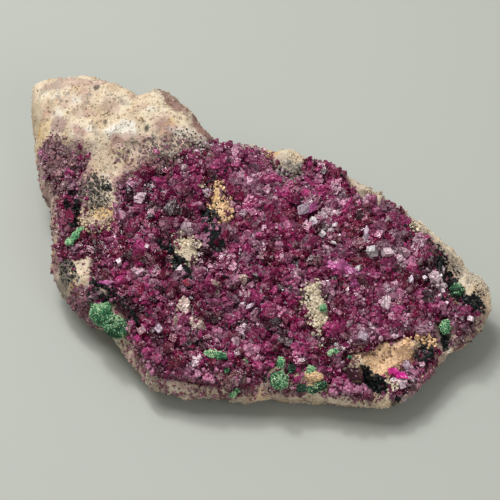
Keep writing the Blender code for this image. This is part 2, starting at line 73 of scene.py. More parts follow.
# The light and the floor.
# A broad soft light stands behind the stone to the left with a small bright one in it, which the
# crystals' faces mirror as glints. A weaker one stands in front, and pale light comes from all round.
WORLD_COLOUR = (0.88, 0.93, 0.86)
WORLD_STRENGTH = 0.40
LIGHTS = {                # azimuth and elevation in degrees, distance, width, power in watts
    "window": (146.0, 68.0, 420.0, 280.0, 1.52),
    "lamp": (128.0, 64.0, 420.0, 60.0, 0.50),
    "fill": (-60.0, 40.0, 500.0, 280.0, 0.50),
}
FLOOR_COLOUR = (0.348, 0.357, 0.327)
FLOOR_SIZE = 4000.0

world = bpy.data.worlds.new("surroundings")
world.use_nodes = True
world.node_tree.nodes["Background"].inputs["Color"].default_value = (*WORLD_COLOUR, 1.0)
world.node_tree.nodes["Background"].inputs["Strength"].default_value = WORLD_STRENGTH
bpy.context.scene.world = world
bpy.context.scene.view_settings.view_transform = "Standard"

for light_name, (azimuth, elevation, distance, width, power) in LIGHTS.items():
    light_data = bpy.data.lights.new(light_name, "AREA")
    light_data.shape = "DISK"
    light_data.size = width * MM
    light_data.energy = power
    light = bpy.data.objects.new(light_name, light_data)
    azimuth, elevation = math.radians(azimuth), math.radians(elevation)
    light.location = (
        distance * math.cos(elevation) * math.cos(azimuth) * MM,
        distance * math.cos(elevation) * math.sin(azimuth) * MM,
        distance * math.sin(elevation) * MM,
    )
    light.rotation_euler = (math.pi / 2.0 - elevation, 0.0, azimuth + math.pi / 2.0)
    bpy.context.scene.collection.objects.link(light)


def opaque(colour):
    """A colour in full, as a shader takes it."""
    return (*colour, 1.0)


def new_material(name, colour, roughness):
    """A material with one Principled shader, whose nodes are then added to."""
    finish = bpy.data.materials.new(name)
    finish.use_nodes = True
    shader = finish.node_tree.nodes["Principled BSDF"]
    shader.inputs["Base Color"].default_value = opaque(colour)
    shader.inputs["Roughness"].default_value = roughness
    return finish


def make_piece(name, points, faces, finish):
    """One mesh object from points in millimetres and faces of one size, as arrays."""
    mesh = bpy.data.meshes.new(name)
    mesh.vertices.add(len(points))
    mesh.vertices.foreach_set("co", (points * MM).astype(np.float32).ravel())
    mesh.loops.add(faces.size)
    mesh.loops.foreach_set("vertex_index", faces.astype(np.int32).ravel())
    mesh.polygons.add(len(faces))
    mesh.polygons.foreach_set("loop_start", np.arange(0, faces.size, faces.shape[1], dtype=np.int32))
    mesh.update(calc_edges=True)
    mesh.validate()
    mesh.materials.append(finish)
    piece = bpy.data.objects.new(name, mesh)
    bpy.context.scene.collection.objects.link(piece)
    return piece


floor_corners = np.array([[-1, -1, 0], [1, -1, 0], [1, 1, 0], [-1, 1, 0]]) * FLOOR_SIZE / 2.0
floor_finish = new_material("floor", FLOOR_COLOUR, 0.7)
floor = make_piece("floor", floor_corners, np.array([[0, 1, 2, 3]]), floor_finish)


# The host rock.
# One broken piece of tan and cream rock, fine and sandy in grain, stained by ochre and by black
# oxide. It lies on its flat underside, and its face rises to a bare hump at the far left.
RIM = [                   # x, y and the height of the stone's widest line there
    (-31.5, 23.6, 14.2), (-29.5, 24.5, 14.6), (-27.6, 24.7, 14.9), (-25.5, 24.7, 15.1),
    (-22.8, 24.6, 14.9), (-21.3, 24, 14.8), (-20.2, 23.4, 14.3), (-18.3, 22.9, 14.3), (-16.5, 21.6, 13.4),
    (-14.5, 22.8, 13.9), (-13.3, 22.9, 14.1), (-11.7, 22, 12.9), (-10.8, 21.3, 12.3), (-8.4, 19, 11.3),
    (-6, 16.2, 10.4), (-4.2, 14.7, 11.2), (-0.3, 14.4, 11.7), (2.2, 13.7, 11.4), (4.8, 13.9, 11.4),
    (6.6, 12.6, 11.2), (9, 12.1, 10.8), (11.8, 10.6, 10.3), (14.5, 9, 9.8), (17.2, 7.2, 9.4),
    (19.8, 4.8, 9.7), (23.2, 2.2, 8.3), (25, 0.4, 7.8), (27.2, -1.8, 7.4), (29.4, -4.4, 7),
    (31.2, -7.3, 7), (31.5, -9.6, 6.3), (30.6, -11.8, 5.5), (28.8, -14.4, 5), (25.9, -16.3, 5),
    (24, -18.1, 4.5), (21.9, -20.7, 4.5), (20.4, -23.1, 4), (18.1, -24.7, 4), (15.2, -24.5, 3.5),
    (11.5, -23.9, 3.5), (6.9, -23.3, 3.6), (2.3, -22.8, 4), (-3.6, -22.9, 3.6), (-8.2, -22.6, 3.5),
    (-11.7, -21.8, 3.5), (-14, -21.1, 4), (-15.6, -18.8, 4), (-18.3, -14.2, 4.5), (-20.7, -11.9, 4.5),
    (-23.6, -9.7, 5), (-26, -7, 5), (-27.6, -4, 5.5), (-28.1, -2.2, 5.5), (-27.6, 0.8, 6),
    (-28.4, 5, 6.5), (-28.8, 7.8, 6.5), (-30.3, 11.5, 7.5), (-31.1, 15.3, 9), (-31.5, 19.8, 11.5),
]
MIDDLE = (-3.5, -4.0)     # every point of the rim is in sight of this one
BASE = [                  # the flat facet that the stone rests on
    (-26.5, 20), (-20, 19.5), (-12, 17.5), (-7, 13), (-1, 11), (7, 9), (14, 5), (19, 0), (22, -5),
    (22.5, -10), (20, -15), (16, -20), (9, -20.5), (0, -19.8), (-8, -19), (-13, -16.5), (-17, -11),
    (-22, -6), (-24.5, -1), (-25, 6), (-26.5, 13),
]
CRUST_EDGE = [            # the outline of the crust of calcite
    (-30.2, 13.6), (-28.6, 13.9), (-26.9, 12.4), (-25.1, 12.7), (-23.4, 11.6), (-24.5, 9.5), (-24.3, 7.1),
    (-24.4, 3.9), (-23.9, 0.9), (-22.5, -0.3), (-21, 0.4), (-19.3, 2), (-18.4, 4.2), (-18.9, 6.7),
    (-18, 8.5), (-16.1, 9.8), (-13.4, 11), (-10.6, 11.7), (-7.9, 12.8), (-5.6, 14), (-3, 13.9),
    (-0.5, 13.5), (1.2, 12.4), (2.5, 10.4), (4.5, 8.8), (6, 9.6), (6.9, 11.3), (8.7, 11.3), (11.3, 10),
    (13.9, 8.4), (16.6, 6.6), (19, 4.4), (20.6, 2.2), (21.8, 0.6), (23, -0.9), (24.2, -2.8), (25.2, -4.8),
    (25, -7.4), (25.2, -9.5), (26.2, -10.5), (28.1, -10.8), (29.5, -12), (28.3, -13.6), (26.9, -14.9),
    (26.4, -14.2), (26.3, -12.8), (25.2, -12.1), (23.9, -12.4), (23.5, -13.9), (23.7, -15.4),
    (24.2, -16.6), (22.7, -18.4), (21.1, -20.5), (19.8, -22.5), (18, -23.7), (16.9, -22.5), (17, -20.8),
    (17.9, -19.5), (19.5, -18.6), (20.9, -17.7), (21.9, -15.9), (19.6, -15.3), (16.9, -15.8),
    (14.9, -17.3), (12.7, -17.9), (11.6, -19.6), (12.6, -21.4), (14.2, -23.3), (11.4, -23), (9.9, -22.3),
    (9.1, -21.2), (8.6, -20), (7.6, -19.1), (6, -19.1), (4.4, -18.8), (3, -18.3), (1.8, -18.9),
    (1.1, -20.3), (0.9, -21.8), (-3.4, -22), (-8, -21.7), (-11.3, -20.9), (-13.2, -20.2), (-14.8, -18.2),
    (-16.1, -15.8), (-15.9, -13.2), (-17.3, -10.9), (-19.3, -9), (-21.8, -8.5), (-21.5, -7),
    (-22.1, -5.4), (-21.6, -3.9), (-23, -3.4), (-24.4, -4.1), (-26.3, -3.7), (-27.1, -2), (-26.8, 1),
    (-27.4, 4.6), (-27.9, 7.4), (-29.4, 11),
]
WINDOWS = [               # where the rock shows through the crust
    [(-12.0, -1.7), (-10.4, -0.9), (-8.2, -1.3), (-7.7, -3.2), (-8.2, -5.3), (-9.6, -5.2),
     (-10.9, -3.7)],
    [(-6.3, 6.5), (-5.0, 7.0), (-3.9, 4.8), (-3.3, 2.6), (-4.1, 0.9), (-5.5, 1.9), (-6.6, 4.6)],
    [(6.4, -8.1), (8.4, -7.8), (9.4, -10.2), (9.8, -12.7), (8.6, -14.6), (6.7, -14.1),
     (5.7, -12.1), (5.9, -9.9)],
]
RELIEF = [                # centre, half length, half width, turn in degrees, rise
    (-21.0, 18.5, 15.0, 9.0, -12, 2.6),     # the bare hump at the far left
    (-10.5, 16.5, 7.5, 5.0, -40, 1.2),      # its right shoulder
    (-26.0, 9.0, 5.0, 6.0, 0, -0.8),        # the thin crust below the hump
    (18.3, -19.2, 6.5, 4.6, 10, -1.7),      # the bare ledge at the front right
    (15.4, -21.8, 3.2, 1.9, -35, -1.6),     # the black pit in that ledge
    (24.9, -14.2, 1.6, 4.2, 8, -1.7),       # the crevice before the right-hand lump
    (27.4, -13.0, 2.6, 3.4, 20, 0.5),       # that lump
    (3.5, -15.0, 2.6, 2.2, 0, -1.1),        # dark hollow in the crust
    (-6.9, 2.6, 1.5, 4.0, 12, -0.9),        # crevice beside the ochre window
    (-11.6, -5.2, 3.6, 2.0, -30, -1.1),     # crevice below the left-hand window
    (-25.0, 4.6, 1.4, 6.0, 6, -1.0),        # black seam at the left
    (26.6, -6.2, 2.0, 4.4, 28, -1.3),       # hollow of the right-hand ball
]
RELIEF_SHAPE = 1.35       # over 1, each has a level middle
FACE_MIDDLE, FACE_RISE, FACE_FALL = 9.9, 0.17, 0.02
FACE_DOME, DOME_REACH = 0.9, (32.0, 25.0)
ROLL, ROLL_SHAPE = 2.2, 2.2
SIDE_UNDERCUT, SIDE_LUMPS, SIDE_LUMP_SIZE = 1.5, 1.2, 9.0
BARE_LUMPS, BARE_LUMP_SIZE, BARE_BLEND = 0.5, 5.5, 1.6
CRUST_DEPTH, CRUST_EDGE_DEPTH, CRUST_GAP = 1.7, 1.0, 0.35
CRUST_SWELL, CRUST_SWELL_SIZE, CRUST_SWELL_FADE = 0.45, 8.0, 2.5
EDGE_FADE = 1.5

CORNERS = [(-14.0, -21.1), (18.1, -24.7), (31.5, -9.6), (-31.5, 23.6)]
FACE_COLUMNS, FACE_ROWS = 330, 205          # cells of the face's grid, drawn between those corners
SIDE_CELLS = 28           # rings of cells from the rim down to the base
BASE_CELLS = 2            # rings of cells of the underside


def ease(share):
    """An S-shaped step: 0 below 0, 1 above 1, level at both ends."""
    share = np.clip(share, 0.0, 1.0)
    return share * share * (3.0 - 2.0 * share)


def lumps(x, y, size, shift=0.0):
    """Rolling lumps about one size across, from -1 to 1: three waves, each bent by another."""
    a = 2.0 * math.pi * np.asarray(x, float) / size
    b = 2.0 * math.pi * np.asarray(y, float) / size
    first = np.sin(a + 1.3 * np.sin(0.7 * b + shift))
    second = np.sin(0.8 * b - 1.1 * np.sin(0.9 * a + 2.0 * shift) + 2.0)
    third = np.sin(0.6 * a + 0.7 * b + 1.7 * np.sin(0.5 * b - 0.4 * a + shift))
    return (first + second + third) / 3.0


def noise(points, size, seed):
    """Rounded random lumps about one size across, from -1 to 1: random values at the corners of
    turned cubes, joined by S-shaped steps along the three edges of each cube."""
    shuffle = np.random.default_rng(seed)
    table = shuffle.uniform(-1.0, 1.0, (32, 32, 32))
    turn = np.linalg.qr(shuffle.normal(size=(3, 3)))[0]
    place = points @ turn / size + 100.0
    cell = np.floor(place).astype(int)
    share = ease(place - cell)
    total = np.zeros(len(points))
    for corner in np.ndindex(2, 2, 2):
        weight = np.prod(np.where(corner, share, 1.0 - share), axis=1)
        i, j, k = ((cell + corner) % 32).T
        total += weight * table[i, j, k]
    return total


def rough(points, size, layers, seed):
    """Broken relief from -1 to 1: layers of noise, each half as large and half as high."""
    total = sum(noise(points, size / 2 ** layer, seed + layer) / 2 ** layer for layer in range(layers))
    return total / (2.0 - 0.5 ** (layers - 1))


def on_plan(x, y):
    """Points at height 0, where a pattern doesn't depend on height."""
    return np.column_stack([x, y, np.zeros(len(x))])


def edge_distance(x, y, outline):
    """Distance to an outline, and where on it the nearest point is: edge number and share along
    it."""
    start = np.array(outline, float)[:, :2]
    run = np.roll(start, -1, axis=0) - start
    best = np.full(len(x), np.inf)
    edge = np.zeros(len(x), int)
    share = np.zeros(len(x))
    for number, (corner, side) in enumerate(zip(start, run)):
        along = np.clip(((x - corner[0]) * side[0] + (y - corner[1]) * side[1]) / (side @ side), 0.0, 1.0)
        gap = np.hypot(corner[0] + along * side[0] - x, corner[1] + along * side[1] - y)
        nearer = gap < best
        best = np.where(nearer, gap, best)
        edge = np.where(nearer, number, edge)
        share = np.where(nearer, along, share)
    return best, edge, share


def inside(x, y, outline):
    """True where a point is inside an outline: a line from it to +X crosses the outline an odd
    number of times."""
    start = np.array(outline, float)[:, :2]
    odd = np.zeros(len(x), bool)
    for corner, after in zip(start, np.roll(start, -1, axis=0)):
        if corner[1] != after[1]:
            spans = (corner[1] > y) != (after[1] > y)
            crossing = corner[0] + (y - corner[1]) * (after[0] - corner[0]) / (after[1] - corner[1])
            odd ^= spans & (x < crossing)
    return odd


def crust_cover(x, y):
    """How far inside the crust a point is in millimetres, negative outside it or in a window."""
    gap = edge_distance(x, y, CRUST_EDGE)[0]
    depth = np.where(inside(x, y, CRUST_EDGE), gap, -gap)
    for window in WINDOWS:
        gap = edge_distance(x, y, window)[0]
        depth = np.minimum(depth, np.where(inside(x, y, window), -gap, gap))
    return depth


def ellipse_distance(x, y, centre_x, centre_y, length, width, turn):
    """0 at an ellipse's centre and 1 on its border."""
    turn = math.radians(turn)
    along = (x - centre_x) * math.cos(turn) + (y - centre_y) * math.sin(turn)
    across = (y - centre_y) * math.cos(turn) - (x - centre_x) * math.sin(turn)
    return np.hypot(along / length, across / width)


def ellipse_sum(rows, x, y, steepness):
    """The sum at each place of the values of ellipses, each of which fades out at its edge."""
    total = np.zeros(len(x))
    for *ellipse, value in rows:
        total += value * ease(steepness * (1.0 - ellipse_distance(x, y, *ellipse)))
    return total


def rim_near(x, y):
    """The distance to the rim, and the rim's height at its nearest point."""
    gap, edge, along = edge_distance(x, y, RIM)
    height = np.array(RIM)[:, 2]
    return gap, height[edge] * (1.0 - along) + np.roll(height, -1)[edge] * along


def rock_top(x, y):
    """Height of the rock's face: a tilted dome with its bumps and pits, lower under the crust, and
    turned down to the rim round the edge."""
    dome = FACE_DOME * (1.0 - (x / DOME_REACH[0]) ** 2) * (1.0 - (y / DOME_REACH[1]) ** 2)
    face = FACE_MIDDLE + FACE_RISE * y - FACE_FALL * x + dome + ellipse_sum(RELIEF, x, y, RELIEF_SHAPE)
    bare = 1.0 - ease(0.5 + crust_cover(x, y) / BARE_BLEND)
    face = face - CRUST_DEPTH * (1.0 - bare) + BARE_LUMPS * bare * lumps(x, y, BARE_LUMP_SIZE, 1.0)
    gap, height = rim_near(x, y)
    roll = 1.0 - (1.0 - np.clip(gap / ROLL, 0.0, 1.0)) ** ROLL_SHAPE
    return height + (face - height) * roll


def rim_point(turn):
    """The rim's point a share of the way round it, counterclockwise from the first corner."""
    rim = np.array(RIM)[::-1]
    first = np.hypot(*(rim[:, :2] - CORNERS[0]).T).argmin()
    loop = np.roll(rim, -first, axis=0)
    loop = np.vstack([loop, loop[:1]])
    length = np.hypot(*np.diff(loop[:, :2], axis=0).T)
    walked = np.concatenate([[0.0], length.cumsum()]) / length.sum()
    return np.column_stack([np.interp(turn % 1.0, walked, loop[:, axis]) for axis in range(3)])


def rim_turns(columns, rows):
    """Shares of the way round the rim for the four borders of a grid: front, right, back, left."""
    fine = np.linspace(0.0, 1.0, 2000, endpoint=False)
    rim = rim_point(fine)[:, :2]
    turn = [fine[np.hypot(*(rim - corner).T).argmin()] for corner in CORNERS] + [1.0]
    cells = (columns, rows, columns, rows)
    return [np.linspace(turn[side], turn[side + 1], cells[side] + 1) for side in range(4)]


def face_grid(columns, rows):
    """Plan positions of a grid stretched between the four parts of the rim: each point is the sum
    of its two places between opposite borders, less its place between the corners."""
    front, right, back, left = (rim_point(turn)[:, :2] for turn in rim_turns(columns, rows))
    back, left = back[::-1], left[::-1]
    u = np.linspace(0.0, 1.0, columns + 1)[:, None, None]
    v = np.linspace(0.0, 1.0, rows + 1)[None, :, None]
    across = (1.0 - v) * front[:, None] + v * back[:, None]
    along = (1.0 - u) * left[None] + u * right[None]
    level = (1.0 - u) * ((1.0 - v) * front[0] + v * back[0]) + u * ((1.0 - v) * front[-1] + v * back[-1])
    return (across + along - level).reshape(-1, 2)


def grid_faces(rows, columns):
    """Two triangles for each cell of a grid of points, counterclockwise from above."""
    index = np.arange(rows * columns).reshape(rows, columns)
    a, b, c, d = index[:-1, :-1], index[1:, :-1], index[1:, 1:], index[:-1, 1:]
    return np.vstack([np.column_stack([a.ravel(), b.ravel(), c.ravel()]),
                      np.column_stack([a.ravel(), c.ravel(), d.ravel()])])


def grid_border(columns, rows):
    """The grid's border points, counterclockwise from its first corner."""
    index = np.arange((columns + 1) * (rows + 1)).reshape(columns + 1, rows + 1)
    return np.concatenate([index[:-1, 0], index[-1, :-1], index[::-1, -1][:-1], index[0, ::-1][:-1]])


def band_faces(upper, lower):
    """Two triangles between each pair of points on two loops, facing out."""
    after_upper, after_lower = np.roll(upper, -1), np.roll(lower, -1)
    return np.vstack([np.column_stack([upper, lower, after_lower]),
                      np.column_stack([upper, after_lower, after_upper])])


def side_ring(share, turn):
    """The stone's side at one share of the way down: from the rim in to the base, with lumps."""
    rim = rim_point(turn)
    angle = np.arctan2(rim[:, 1] - MIDDLE[1], rim[:, 0] - MIDDLE[0])
    radius = np.hypot(rim[:, 0] - MIDDLE[0], rim[:, 1] - MIDDLE[1])
    base = (np.array(BASE) - MIDDLE)[::-1]
    base_angle = np.arctan2(base[:, 1], base[:, 0])
    base_radius = np.interp(angle, base_angle, np.hypot(*base.T), period=2.0 * math.pi)
    bulge = lumps(radius * angle, SIDE_LUMP_SIZE * share, SIDE_LUMP_SIZE)
    bulge *= SIDE_LUMPS * math.sin(math.pi * share)
    radius = radius + (base_radius - radius) * share ** SIDE_UNDERCUT + bulge
    x = MIDDLE[0] + radius * np.cos(angle)
    y = MIDDLE[1] + radius * np.sin(angle)
    return np.column_stack([x, y, rim[:, 2] * (1.0 - share)])


def unit(vectors):
    """Vectors made one long."""
    return vectors / np.maximum(np.linalg.norm(vectors, axis=1), 1e-12)[:, None]


def face_normals(points, faces):
    """Normals at the points: the mean of the faces round each, by area."""
    a, b, c = (points[faces[:, corner]] for corner in range(3))
    cross = np.cross(b - a, c - a)
    total = np.zeros_like(points)
    for corner in range(3):
        for axis in range(3):
            total[:, axis] += np.bincount(faces[:, corner], cross[:, axis], len(points))
    return unit(total)


def rock_shape():
    """The stone as one closed surface: the face on a four-sided grid, the side in rings under its
    border, and the underside in rings that close at the middle."""
    plan = face_grid(FACE_COLUMNS, FACE_ROWS)
    points = np.column_stack([plan, rock_top(*plan.T)])
    faces = [grid_faces(FACE_COLUMNS + 1, FACE_ROWS + 1)]
    above = grid_border(FACE_COLUMNS, FACE_ROWS)
    count = len(above)
    turn = np.concatenate([side[:-1] for side in rim_turns(FACE_COLUMNS, FACE_ROWS)])
    for share in np.linspace(0.0, 1.0, SIDE_CELLS + 1)[1:]:
        below = np.arange(count) + len(points)
        points = np.vstack([points, side_ring(share, turn)])
        faces.append(band_faces(above, below))
        above = below
    edge = points[above]
    middle = np.array([*MIDDLE, 0.0])
    for share in np.linspace(1.0, 0.0, BASE_CELLS + 1)[1:-1]:
        below = np.arange(count) + len(points)
        points = np.vstack([points, middle + (edge - middle) * share])
        faces.append(band_faces(above, below))
        above = below
    faces.append(np.column_stack([above, np.full(count, len(points)), np.roll(above, -1)]))
    return np.vstack([points, middle]), np.vstack(faces)


def hex_colour(digits):
    """The linear values of a colour written as six hexadecimal digits."""
    parts = np.array([int(digits[place:place + 2], 16) / 255.0 for place in (0, 2, 4)])
    return np.where(parts > 0.04045, ((parts + 0.055) / 1.055) ** 2.4, parts / 12.92)


def named_colours(**digits):
    """The linear values of several colours, by name."""
    return {name: hex_colour(six) for name, six in digits.items()}


ROCK_COLOURS = named_colours(
    cream="d1c1a9", tan="c0a88c", ochre="c8a46c", golden="e6bd92", white="d8d0c4", rose="ab8a80",
    brown="7e5d55", grey="8f867d", plum="7a4a5c", black="171718", teal="0f2422", dusk="5b5450",
    mauve="8c6a70",
)
ROCK_PATCHES = [          # colour, its mean share, how far that varies, patch size, layers, random seed
    ("tan", 0.3, 1.6, 2.0, 4, 31), ("rose", -0.25, 2.6, 2.2, 4, 35), ("ochre", -0.5, 2.0, 2.8, 4, 39),
    ("white", -0.7, 2.4, 1.1, 3, 53), ("grey", -0.45, 2.0, 0.9, 3, 57),
]
FOOT_HEIGHT, FOOT_SLOPE, FOOT_FADE = 7.5, 0.22, 3.0     # the stone is browner below this level
FOOT_SHARE, FOOT_CHANGE, FOOT_SIZE = 0.15, 0.7, 3.0
HALO_SHARE, HALO_REACH, HALO_FADE = 0.65, 1.8, 2.0      # and mauve under the crust and beside it
HALO_WANDER, HALO_SIZE = 1.2, 1.2
STAIN_LOWEST, STAIN_RISE = 2.5, 1.5                     # the height over which the stains begin
ROCK_STAINS = [           # centre, half length, half width, turn in degrees, colour, share of it
    (-26.1, 22.6, 5.4, 1.5, -3, "rose", 0.6), (-28.9, 22.1, 2.5, 1.1, 20, "grey", 0.4),
    (-29.5, 19.1, 1.8, 1.6, 0, "ochre", 0.15), (-29.8, 15.8, 1.5, 2.2, 0, "ochre", 0.42),
    (-27.5, 15.9, 1.1, 1.2, 0, "plum", 0.55), (-20.4, 17.7, 1.4, 1.7, 0, "rose", 0.5),
    (-18.5, 14.6, 2.5, 1.4, 8, "white", 0.95), (-23.1, 14.7, 0.5, 0.5, 0, "white", 1),
    (-22.3, 21.1, 0.5, 0.5, 0, "black", 0.8), (-21, 15.6, 0.45, 0.45, 0, "black", 0.7),
    (-15.2, 14.7, 0.5, 0.5, 0, "black", 0.85), (-19.2, 12.9, 0.9, 0.6, 0, "brown", 0.8),
    # The two brown stains on the hump's right slope are partly its colour and partly painted shade; the black
    # one beside the big malachite is partly oxide and partly painted shadow.
    (-14.5, 13, 6, 1.8, 8, "rose", 0.5), (-11.5, 19.4, 4.6, 1.35, -42, "brown", 0.9),
    (-7.6, 15.6, 3.6, 1.2, -50, "brown", 0.9), (-18.8, -11.3, 3.2, 1.3, -50, "black", 0.9),
    (-24, -9.8, 4, 2, -38, "plum", 0.75), (-8.6, 13.9, 3.4, 1.1, -14, "white", 0.45),
    (-22.1, 5.8, 2.6, 3.4, 0, "dusk", 0.5), (-20.5, 6.6, 0.8, 0.7, 0, "black", 0.85),
    (-20.9, 2.6, 1.6, 1.6, 0, "ochre", 0.8), (-25.2, 3.5, 0.9, 3.4, 6, "teal", 0.95),
    (-26.3, -5.9, 1.7, 2.2, 20, "dusk", 0.75), (-23.8, -4.9, 1.8, 2.1, 0, "cream", 0.6),
    (-21.1, -10.1, 1.7, 0.8, -20, "black", 0.9), (-16.3, -13.8, 1.2, 1.2, 0, "black", 0.9),
    (-9.7, -3.2, 2.6, 2.8, 0, "cream", 0.8), (-5, 3.9, 2, 3.6, 0, "golden", 0.8),
    (4.7, 10.2, 1.9, 2.4, 0, "grey", 0.35), (1.8, 12.5, 1.3, 0.9, 0, "ochre", 0.7),
    (7.7, -11.2, 2.4, 4.2, 0, "cream", 0.88), (-5.7, 4.6, 0.9, 1.6, 10, "ochre", 0.7),
    (8, -16.6, 1, 1.3, 0, "white", 0.4), (17.8, -18.7, 6, 3.4, 0, "golden", 0.8),
    (19.7, -19.1, 1, 1.2, 0, "grey", 0.6), (15.2, -21.8, 2.3, 1.6, -30, "black", 0.98),
    (22.1, -17.7, 1.2, 1, 10, "black", 0.95), (18, -24.3, 0.6, 0.5, 0, "black", 0.9),
    (6.4, -23.9, 0.9, 0.5, 0, "black", 0.9), (26.4, -7.6, 1.5, 3.2, 25, "black", 0.95),
    (28.6, -10.4, 1.4, 0.9, -20, "black", 0.9), (24.9, -13.4, 0.8, 4.2, 6, "black", 0.9),
    (30.4, -8.6, 1.4, 3.6, 0, "tan", 0.6), (-16.4, -17.8, 3.6, 1, -58, "rose", 0.6),
    (-21, -8.3, 1.7, 0.7, -15, "black", 0.8), (16.2, 7, 5, 2, -38, "cream", 0.6),
    (-14, -20, 5, 1.6, -48, "dusk", 0.42), (-21.2, 10.6, 2.6, 2.8, 0, "brown", 0.17),
    (8, -23.6, 9, 1.2, 0, "cream", 0.75), (29.6, -7.2, 1.8, 3.2, 20, "grey", 0.35),
    (25.6, -3, 4.4, 0.9, -48, "dusk", 0.5), (3.4, -22.6, 3, 0.9, 0, "plum", 0.5),
    (0.6, -23.2, 1.6, 0.7, 0, "golden", 0.5),
]
SPECK_ZONES = [           # where black oxide is sprinkled over the rock, and how thickly
    (-22, 6, 4, 6, 0, 0.9), (-14.5, 13, 7, 2.4, 8, 0.55), (-28, 13.5, 3.5, 3, 0, 0.7),
    (-24.5, -5.5, 3.5, 3, 0, 0.7), (4.7, 10.2, 3, 3, 0, 0.9), (-5.2, 3.8, 2, 4, 8, 0.5),
    (-8.6, 13.9, 3.6, 1.5, -14, 0.9), (27.5, -9.5, 3.5, 4, 0, 0.6), (16.8, -18, 4.8, 2.4, 15, 0.24),
    (25.4, -2.9, 4.6, 1.5, -48, 0.8), (29.8, -8, 1.8, 3.4, 10, 0.62),
]
BROKEN_DEPTH, BROKEN_SIZE = 0.5, 3.2
CREST_DEPTH, CREST_SIZE = 0.3, 2.6
KNOB_DEPTH, KNOB_SIZE = 0.19, 0.9
STAIN_FADE, STAIN_WANDER = 2.4, 0.75
SPECKS_LEAST = 0.08
STAIN_SEED, SPECK_SEED = 100, 150    # of the first stain and the first zone


def towards(colours, colour, share):
    """Colours moved by a share of the way to another one."""
    return colours + (colour - colours) * np.clip(share, 0.0, 1.0)[:, None]


def zone_share(points, ellipse, seed):
    """1 inside an ellipse on the plan and 0 outside it, with a soft border that wanders."""
    wander = STAIN_WANDER * rough(points, 1.2, 4, seed)
    return ease(STAIN_FADE * (1.0 - ellipse_distance(points[:, 0], points[:, 1], *ellipse) + wander))


def rock_colours(points):
    """The stone's colours: cream and tan in soft patches, rose and ochre stains, then the zones."""
    x, y, z = points.T
    colours = np.tile(ROCK_COLOURS["cream"], (len(points), 1))
    for name, mean, change, size, layers, seed in ROCK_PATCHES:
        colours = towards(colours, ROCK_COLOURS[name], mean + change * rough(points, size, layers, seed))
    foot = ease((FOOT_HEIGHT + FOOT_SLOPE * y - z) / FOOT_FADE)
    foot = foot * (FOOT_SHARE + FOOT_CHANGE * rough(points, FOOT_SIZE, 4, 43))
    colours = towards(colours, ROCK_COLOURS["brown"], foot)
    cover = crust_cover(x, y) + HALO_WANDER * rough(points, HALO_SIZE, 4, 47)
    colours = towards(colours, ROCK_COLOURS["mauve"], HALO_SHARE * ease((cover + HALO_REACH) / HALO_FADE))
    stained = ease((z - STAIN_LOWEST) / STAIN_RISE)
    for number, (*ellipse, name, share) in enumerate(ROCK_STAINS):
        zone = zone_share(points, ellipse, STAIN_SEED + number) * stained
        colours = towards(colours, ROCK_COLOURS[name], share * zone)
    return colours


def speck_density(points):
    """How thickly the black specks lie, from 0 to 1."""
    density = np.full(len(points), SPECKS_LEAST)
    for number, (*ellipse, share) in enumerate(SPECK_ZONES):
        density = np.maximum(density, share * zone_share(points, ellipse, SPECK_SEED + number))
    return density


def keep(piece, name, kind, values):
    """Keeps values at the mesh's points: numbers as FLOAT, colours as FLOAT_COLOR, places as
    FLOAT_VECTOR."""
    field = {"FLOAT": "value", "FLOAT_COLOR": "color", "FLOAT_VECTOR": "vector"}[kind]
    if kind == "FLOAT_COLOR":
        values = np.column_stack([values, np.ones(len(values))])
    kept = piece.data.attributes.new(name, kind, "POINT")
    kept.data.foreach_set(field, values.astype(np.float32).ravel())


def add_node(finish, kind, inputs, **settings):
    """A node of a material, its inputs given as values or as other nodes' outputs."""
    node = finish.node_tree.nodes.new(kind)
    for setting, value in settings.items():
        setattr(node, setting, value)
    for place, value in inputs.items():
        if isinstance(value, bpy.types.NodeSocket):
            finish.node_tree.links.new(value, node.inputs[place])
        else:
            node.inputs[place].default_value = value
    return node.outputs


def attribute(finish, name, output):
    """A value kept at the mesh's points."""
    return add_node(finish, "ShaderNodeAttribute", {}, attribute_name=name)[output]


def speckle(finish, size, detail, seed):
    """Noise about one size across in millimetres, from 0 to 1, that stays put on the piece."""
    place = add_node(finish, "ShaderNodeTexCoord", {})["Object"]
    inputs = {"Vector": place, "W": float(seed), "Scale": 1.0 / (size * MM), "Detail": detail}
    return add_node(finish, "ShaderNodeTexNoise", inputs, noise_dimensions="4D")[0]


def ramp(finish, value, low, high, start=0.0, end=1.0):
    """Goes from start to end as a value goes from low to high."""
    inputs = {"Value": value, "From Min": low, "From Max": high, "To Min": start, "To Max": end}
    return add_node(finish, "ShaderNodeMapRange", inputs)[0]


def mixed(finish, share, first, second):
    """A colour a share of the way from the first to the second."""
    return add_node(finish, "ShaderNodeMix", {0: share, 6: first, 7: second}, data_type="RGBA")[2]


def scaled(finish, colour, factor):
    """A colour made lighter or darker."""
    return add_node(finish, "ShaderNodeVectorMath", {0: colour, "Scale": factor}, operation="SCALE")[0]


def difference(finish, first, second):
    """One value less another."""
    return add_node(finish, "ShaderNodeMath", {0: first, 1: second}, operation="SUBTRACT")[0]


def bump(finish, height, depth):
    """A surface roughened to a depth in millimetres."""
    return add_node(finish, "ShaderNodeBump", {"Height": height, "Distance": depth * MM})[0]


def surface_input(finish, place, value):
    """Links one of the shader's inputs."""
    finish.node_tree.links.new(value, finish.node_tree.nodes["Principled BSDF"].inputs[place])


